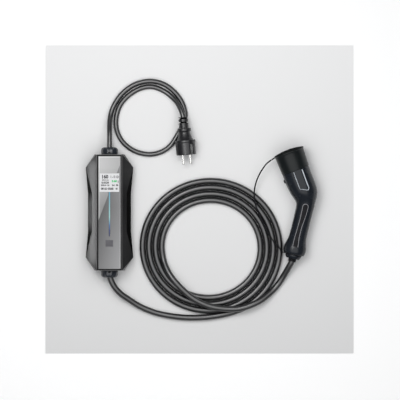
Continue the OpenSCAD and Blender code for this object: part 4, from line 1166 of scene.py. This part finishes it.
# The colour dims towards both ends of the waist: painted shade
rough, painted_shade = [ramp(far, *WAIST_FADE, *ends) for ends in (WAIST_ROUGH, WAIST_PAINTED_SHADE)]
colour = scaled(tree.nodes["tone"].outputs["Color"], painted_shade)
feed(shader, {"Base Color": colour, "Roughness": rough})

# %% [markdown]
# ## Printed film with a painted reflection, and light strip
# The film under the panel has a field in two greys that meet along a slanting line:
# the lighter grey is a painted reflection, and both greys carry painted shading. The
# lighter grey has a silvery border at the left and the top, a painted highlight, inside
# a dark line of painted shade, and a fine light line, a painted highlight, runs down the
# whole right edge. All of it is laid out on the panel itself, so it is worked out from
# the place on it: the lines from the distance to an edge, and the slanting line from a
# weighted sum of across and along.

# %% Film sizes
# The slanting edge of the painted reflection passes through these two places on the panel, in mm
REFLECTION_EDGE_TOP = (22.5, 98.2)
REFLECTION_EDGE_LOW = (-21.3, -14.5)
REFLECTION_EDGE_SOFT = 0.0006
# A grey changes by a slope across, and along from one tone at a place to another: painted
# shading
REFLECTION_GREY = (-3.0, 0.01, 0.09, 0.19, 0.455)
BEYOND_REFLECTION_GREY = (3.6, -0.11, 0.01, 0.23, 0.115)
BORDER_HIGHLIGHT_LIFT = 0.11
# Widths of the lines at the film's edges, painted shade and painted highlight, in mm
EDGE_SHADE_LINE = 0.9
EDGE_SHADE_COLOUR = (0.02, 0.021, 0.02, 1)
HIGHLIGHT_BORDER = 2.4 + EDGE_SHADE_LINE
RIGHT_HIGHLIGHT_LINE = 1.1
RIGHT_HIGHLIGHT_GAIN = 1.9


# %% Panel film with a painted reflection
def grey_colour(grey, blue):
    """A grey as a colour, with its blue weighted."""
    blue = sum_of("MULTIPLY", grey, blue)
    made = step("CombineColor", {"Red": grey, "Green": grey, "Blue": blue})
    return made.outputs["Color"]


def nearer(distance, line, soft):
    """One where a distance is less than a line's width in mm, and nothing beyond it."""
    return ramp(distance, (line - soft) * MM, (line + soft) * MM, 1, 0)


panel_film_painted_reflection = finish("panel film with painted reflection", (0.4, 0.4, 0.41), 0.2, depth=0.01, drift=0.02)
tree, shader = opened(panel_film_painted_reflection)
across, along = across_along(tree)
run = Vector(REFLECTION_EDGE_TOP) - Vector(REFLECTION_EDGE_LOW)
normal = Vector((run.y, -run.x)).normalized()
# The slanting line is the edge of the painted reflection
weighted = sum_of(
    "ADD", sum_of("MULTIPLY", across, normal.x), sum_of("MULTIPLY", along, normal.y)
)
past = sum_of("SUBTRACT", weighted, normal.dot(Vector(REFLECTION_EDGE_LOW)) * MM)
past_reflection_edge = ramp(past, -REFLECTION_EDGE_SOFT, REFLECTION_EDGE_SOFT, 0, 1)
# Both greys carry painted shading across and along
reflection_grey, beyond_reflection_grey = [
    sum_of("MULTIPLY_ADD", across, slope, ramp(along, *tones))
    for slope, *tones in (REFLECTION_GREY, BEYOND_REFLECTION_GREY)
]
beyond_reflection_colour = grey_colour(beyond_reflection_grey, 1.02)
field = mixed(past_reflection_edge, grey_colour(reflection_grey, 1.0), beyond_reflection_colour)
from_left = sum_of("SUBTRACT", across, panel_low.x)
from_top = sum_of("SUBTRACT", panel_high.y, along)
from_right = sum_of("SUBTRACT", panel_high.x, across)
from_edge = sum_of("MINIMUM", from_left, from_top)
in_reflection = sum_of("SUBTRACT", 1.0, past_reflection_edge)
# A lighter border at the left and top inside the painted reflection: painted highlight
in_border_highlight = sum_of("MULTIPLY", nearer(from_edge, HIGHLIGHT_BORDER, 0.4), in_reflection)
border_highlight = grey_colour(sum_of("ADD", reflection_grey, BORDER_HIGHLIGHT_LIFT), 1.0)
film = mixed(in_border_highlight, field, border_highlight)
# A fine light line down the right edge: painted highlight
right_highlight_colour = scaled(beyond_reflection_colour, RIGHT_HIGHLIGHT_GAIN)
film = mixed(nearer(from_right, RIGHT_HIGHLIGHT_LINE, 0.1), film, right_highlight_colour)
# A dark line along the left and top edges: painted shade
film = mixed(nearer(from_edge, EDGE_SHADE_LINE, 0.2), film, EDGE_SHADE_COLOUR)
feed(shader, {"Base Color": film})

# %% Light strip
STRIP_TONES = [
    (0.0, (0.002, 0.008, 0.05)), (0.15, (0.006, 0.025, 0.12)), (0.27, (0.035, 0.12, 0.29)),
    (0.45, (0.26, 0.52, 0.50)), (0.65, (0.20, 0.44, 0.47)), (1.0, (0.07, 0.26, 0.38)),
]
# The film's window is narrower than the guide behind it
WINDOW_MIDDLE, WINDOW_HALF, WINDOW_SOFT = 0.4, 1.25, 0.2
WINDOW_EDGE = (0.12, 0.12, 0.122, 1)
STRIP_POWER = 0.12
strip_glow = finish("strip glow", (0.2, 0.6, 0.7), 0.3, depth=0.0)
tree, shader = opened(strip_glow)
across, along = across_along(tree)
glow = step("ValToRGB", {"Fac": ramp(along, strip_low.y, strip_high.y, 0, 1)})
tones = glow.color_ramp.elements
for position, _ in STRIP_TONES[1:-1]:
    tones.new(position)
for element, (_, colour) in zip(tones, STRIP_TONES):
    element.color = (*colour, 1)
off_middle = sum_of("ABSOLUTE", sum_of("SUBTRACT", across, WINDOW_MIDDLE * MM))
window = ((WINDOW_HALF - WINDOW_SOFT) * MM, (WINDOW_HALF + WINDOW_SOFT) * MM)
covered = ramp(off_middle, *window, 0, 1)
tone = mixed(covered, glow.outputs["Color"], WINDOW_EDGE)
feed(shader, {"Base Color": tone, "Emission Color": tone, "Emission Strength": STRIP_POWER})

# %% Put a finish on every solid
# A slot has the finish of the same name, apart from these
OTHER_FINISHES = {
    "panel_grey": panel_film_painted_reflection, "display_white": screen_white, "light_blue": strip_glow,
    "connector_plastic": grip_plastic, "plated_brass": bright_pin,
    "silvered_copper": contact_metal,
}
for part in frame["record"]["subparts"]:
    slot = part["material_slot"]
    same = bpy.data.materials.get(slot.replace("_", " "))
    paint(nodes[part["node"]], OTHER_FINISHES.get(slot, same))

for piece in (mains_cable, vehicle_cable):
    paint(piece, sheath)
paint(tether, soft_rubber)


# %% Join the pieces to the frame
def stands_for(piece, made, body, *solids):
    """A piece with its finish rides on a body in place of one or more solids."""
    paint(piece, made)
    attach(piece, body)
    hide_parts(*solids)


for piece, made, solid in (
    (front_shell, box_plastic, "front_cover"),
    (rear_shell, box_plastic, "rear_cover"),
    (panel_sheet, panel_film_painted_reflection, "lens_panel"),
    (mains_nut, gland_plastic, "mains_gland_nut"),
    (vehicle_nut, gland_plastic, "vehicle_gland_nut"),
    (plug_shell, plug_plastic, "plug_body"),
    (plug_sleeve, plug_plastic, "plug_body"),
    (plug_leaves, bright_pin, "plug_earth_contacts"),
    (plug_prongs, bright_pin, "plug_pins"),
    (upper_grip, grip_plastic, "upper_grip_shell"),
    (lower_grip, grip_plastic, "lower_grip_shell"),
    (soft_pad, soft_rubber, "grip_pads"),
    (collar, grip_plastic, "end_collar"),
    (boot, soft_rubber, "cable_boot"),
    (ring_tab, soft_rubber, "tether_ring"),
    (nose, grip_plastic, "contact_nose"),
):
    stands_for(piece, made, "charger", solid)
stands_for(cap_cup, cap_plastic, "cap", "protective_cap")

# %% Further finishes on the faces that were marked for them, among them painted shade and a painted highlight
for piece in (front_shell, rear_shell):
    for made in (waist_plastic_painted_shade, painted_shade_black, rim_plastic_painted_highlight):
        piece.data.materials.append(made)
# The nut notches and the plug's grooves get the matt black, as painted shade
for piece in (mains_nut, vehicle_nut, plug_sleeve):
    piece.data.materials.append(painted_shade_black)
cap_cup.data.materials.append(cap_end_plastic)


# %% Pieces that stand for no solid of their own
def added(piece, made):
    paint(piece, made)
    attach(piece, "charger")


added(touch_key, key_print)
added(figures_dark, ink_dark)
added(figures_green, ink_green)
added(soft_pad_low, soft_rubber)
# The beads get their light grey finishes, painted highlights
for (piece, low), made in zip(bead_pairs, (pad_bead_painted_highlight, bead_painted_highlight)):
    added(piece, made)
    added(low, made)
added(catch_pip, grip_plastic)

# %% Join the cables to the frame
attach(mains_cable, "charger")
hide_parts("mains_cable")
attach(vehicle_cable, "charger")
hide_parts("vehicle_cable_lead", "vehicle_cable_coil", "vehicle_cable_tail")

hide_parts("cap_tether")
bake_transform(tether)

# %% [markdown]
# ## The surface and the light
# A pale grey sheet lies on a white surface, as in the photograph. One wide soft
# light hangs overhead and gives the streak on every cable, a smaller one beside it
# gives the shadows a direction, and a narrow low beam from the left catches the
# box's left flank between the gland nuts.

# %% Surface
GREY_SHEET = 0.309
SHEET_TONES = (0.755, 0.915)
WHITE = (1, 1, 1, 1)
WHITE_LIFT = 0.12
bpy.ops.mesh.primitive_plane_add(size=8, location=(0.18, 0.026, 0))
floor = bpy.context.object
floor.name = "surface"
floor_look = bpy.data.materials.new("pale surface")
floor_look.use_nodes = True
tree, shader = opened(floor_look)
axes = across_along(tree)
inside = [sum_of("LESS_THAN", sum_of("ABSOLUTE", axis), GREY_SHEET) for axis in axes]
on_sheet = sum_of("MULTIPLY", *inside)
grey = ramp(axes[1], -GREY_SHEET, GREY_SHEET, *SHEET_TONES)
# The white outside the sheet is a little brighter than the light makes it
lift = ramp(on_sheet, 0, 1, WHITE_LIFT, 0.0)
feed(shader, {
    "Base Color": mixed(on_sheet, WHITE, grey), "Roughness": 0.9,
    "Specular IOR Level": 0.1, "Emission Color": WHITE, "Emission Strength": lift,
})
floor.data.materials.append(floor_look)


# %% Lights
def soft_light(name, place, target, width, height, power):
    bpy.ops.object.light_add(type="AREA", location=place)
    light = bpy.context.object
    light.name = name
    light.data.shape = "RECTANGLE"
    light.data.size = width
    light.data.size_y = height
    light.data.energy = power
    aim = Vector(target) - Vector(place)
    light.rotation_euler = aim.to_track_quat("-Z", "Y").to_euler()
    return light


MIDDLE = (0.18, 0.03, 0)
soft_light("overhead light", (0.18, 0.03, 1.5), MIDDLE, 2.2, 2.2, 22.5)
soft_light("key light", (-0.2, 0.45, 1.6), MIDDLE, 0.6, 0.6, 6.5)
left_light = soft_light("left light", (-1.1, 0, 0.042), (-0.03, 0, 0.042), 0.205, 0.02, 0.024)
left_light.data.spread = radians(2)

world = bpy.data.worlds.new("room")
bpy.context.scene.world = world
world.use_nodes = True
feed(world.node_tree.nodes["Background"], {"Color": (0.9, 0.92, 0.95, 1), "Strength": 0.16})

# %% Update the scene
bpy.context.view_layer.update()
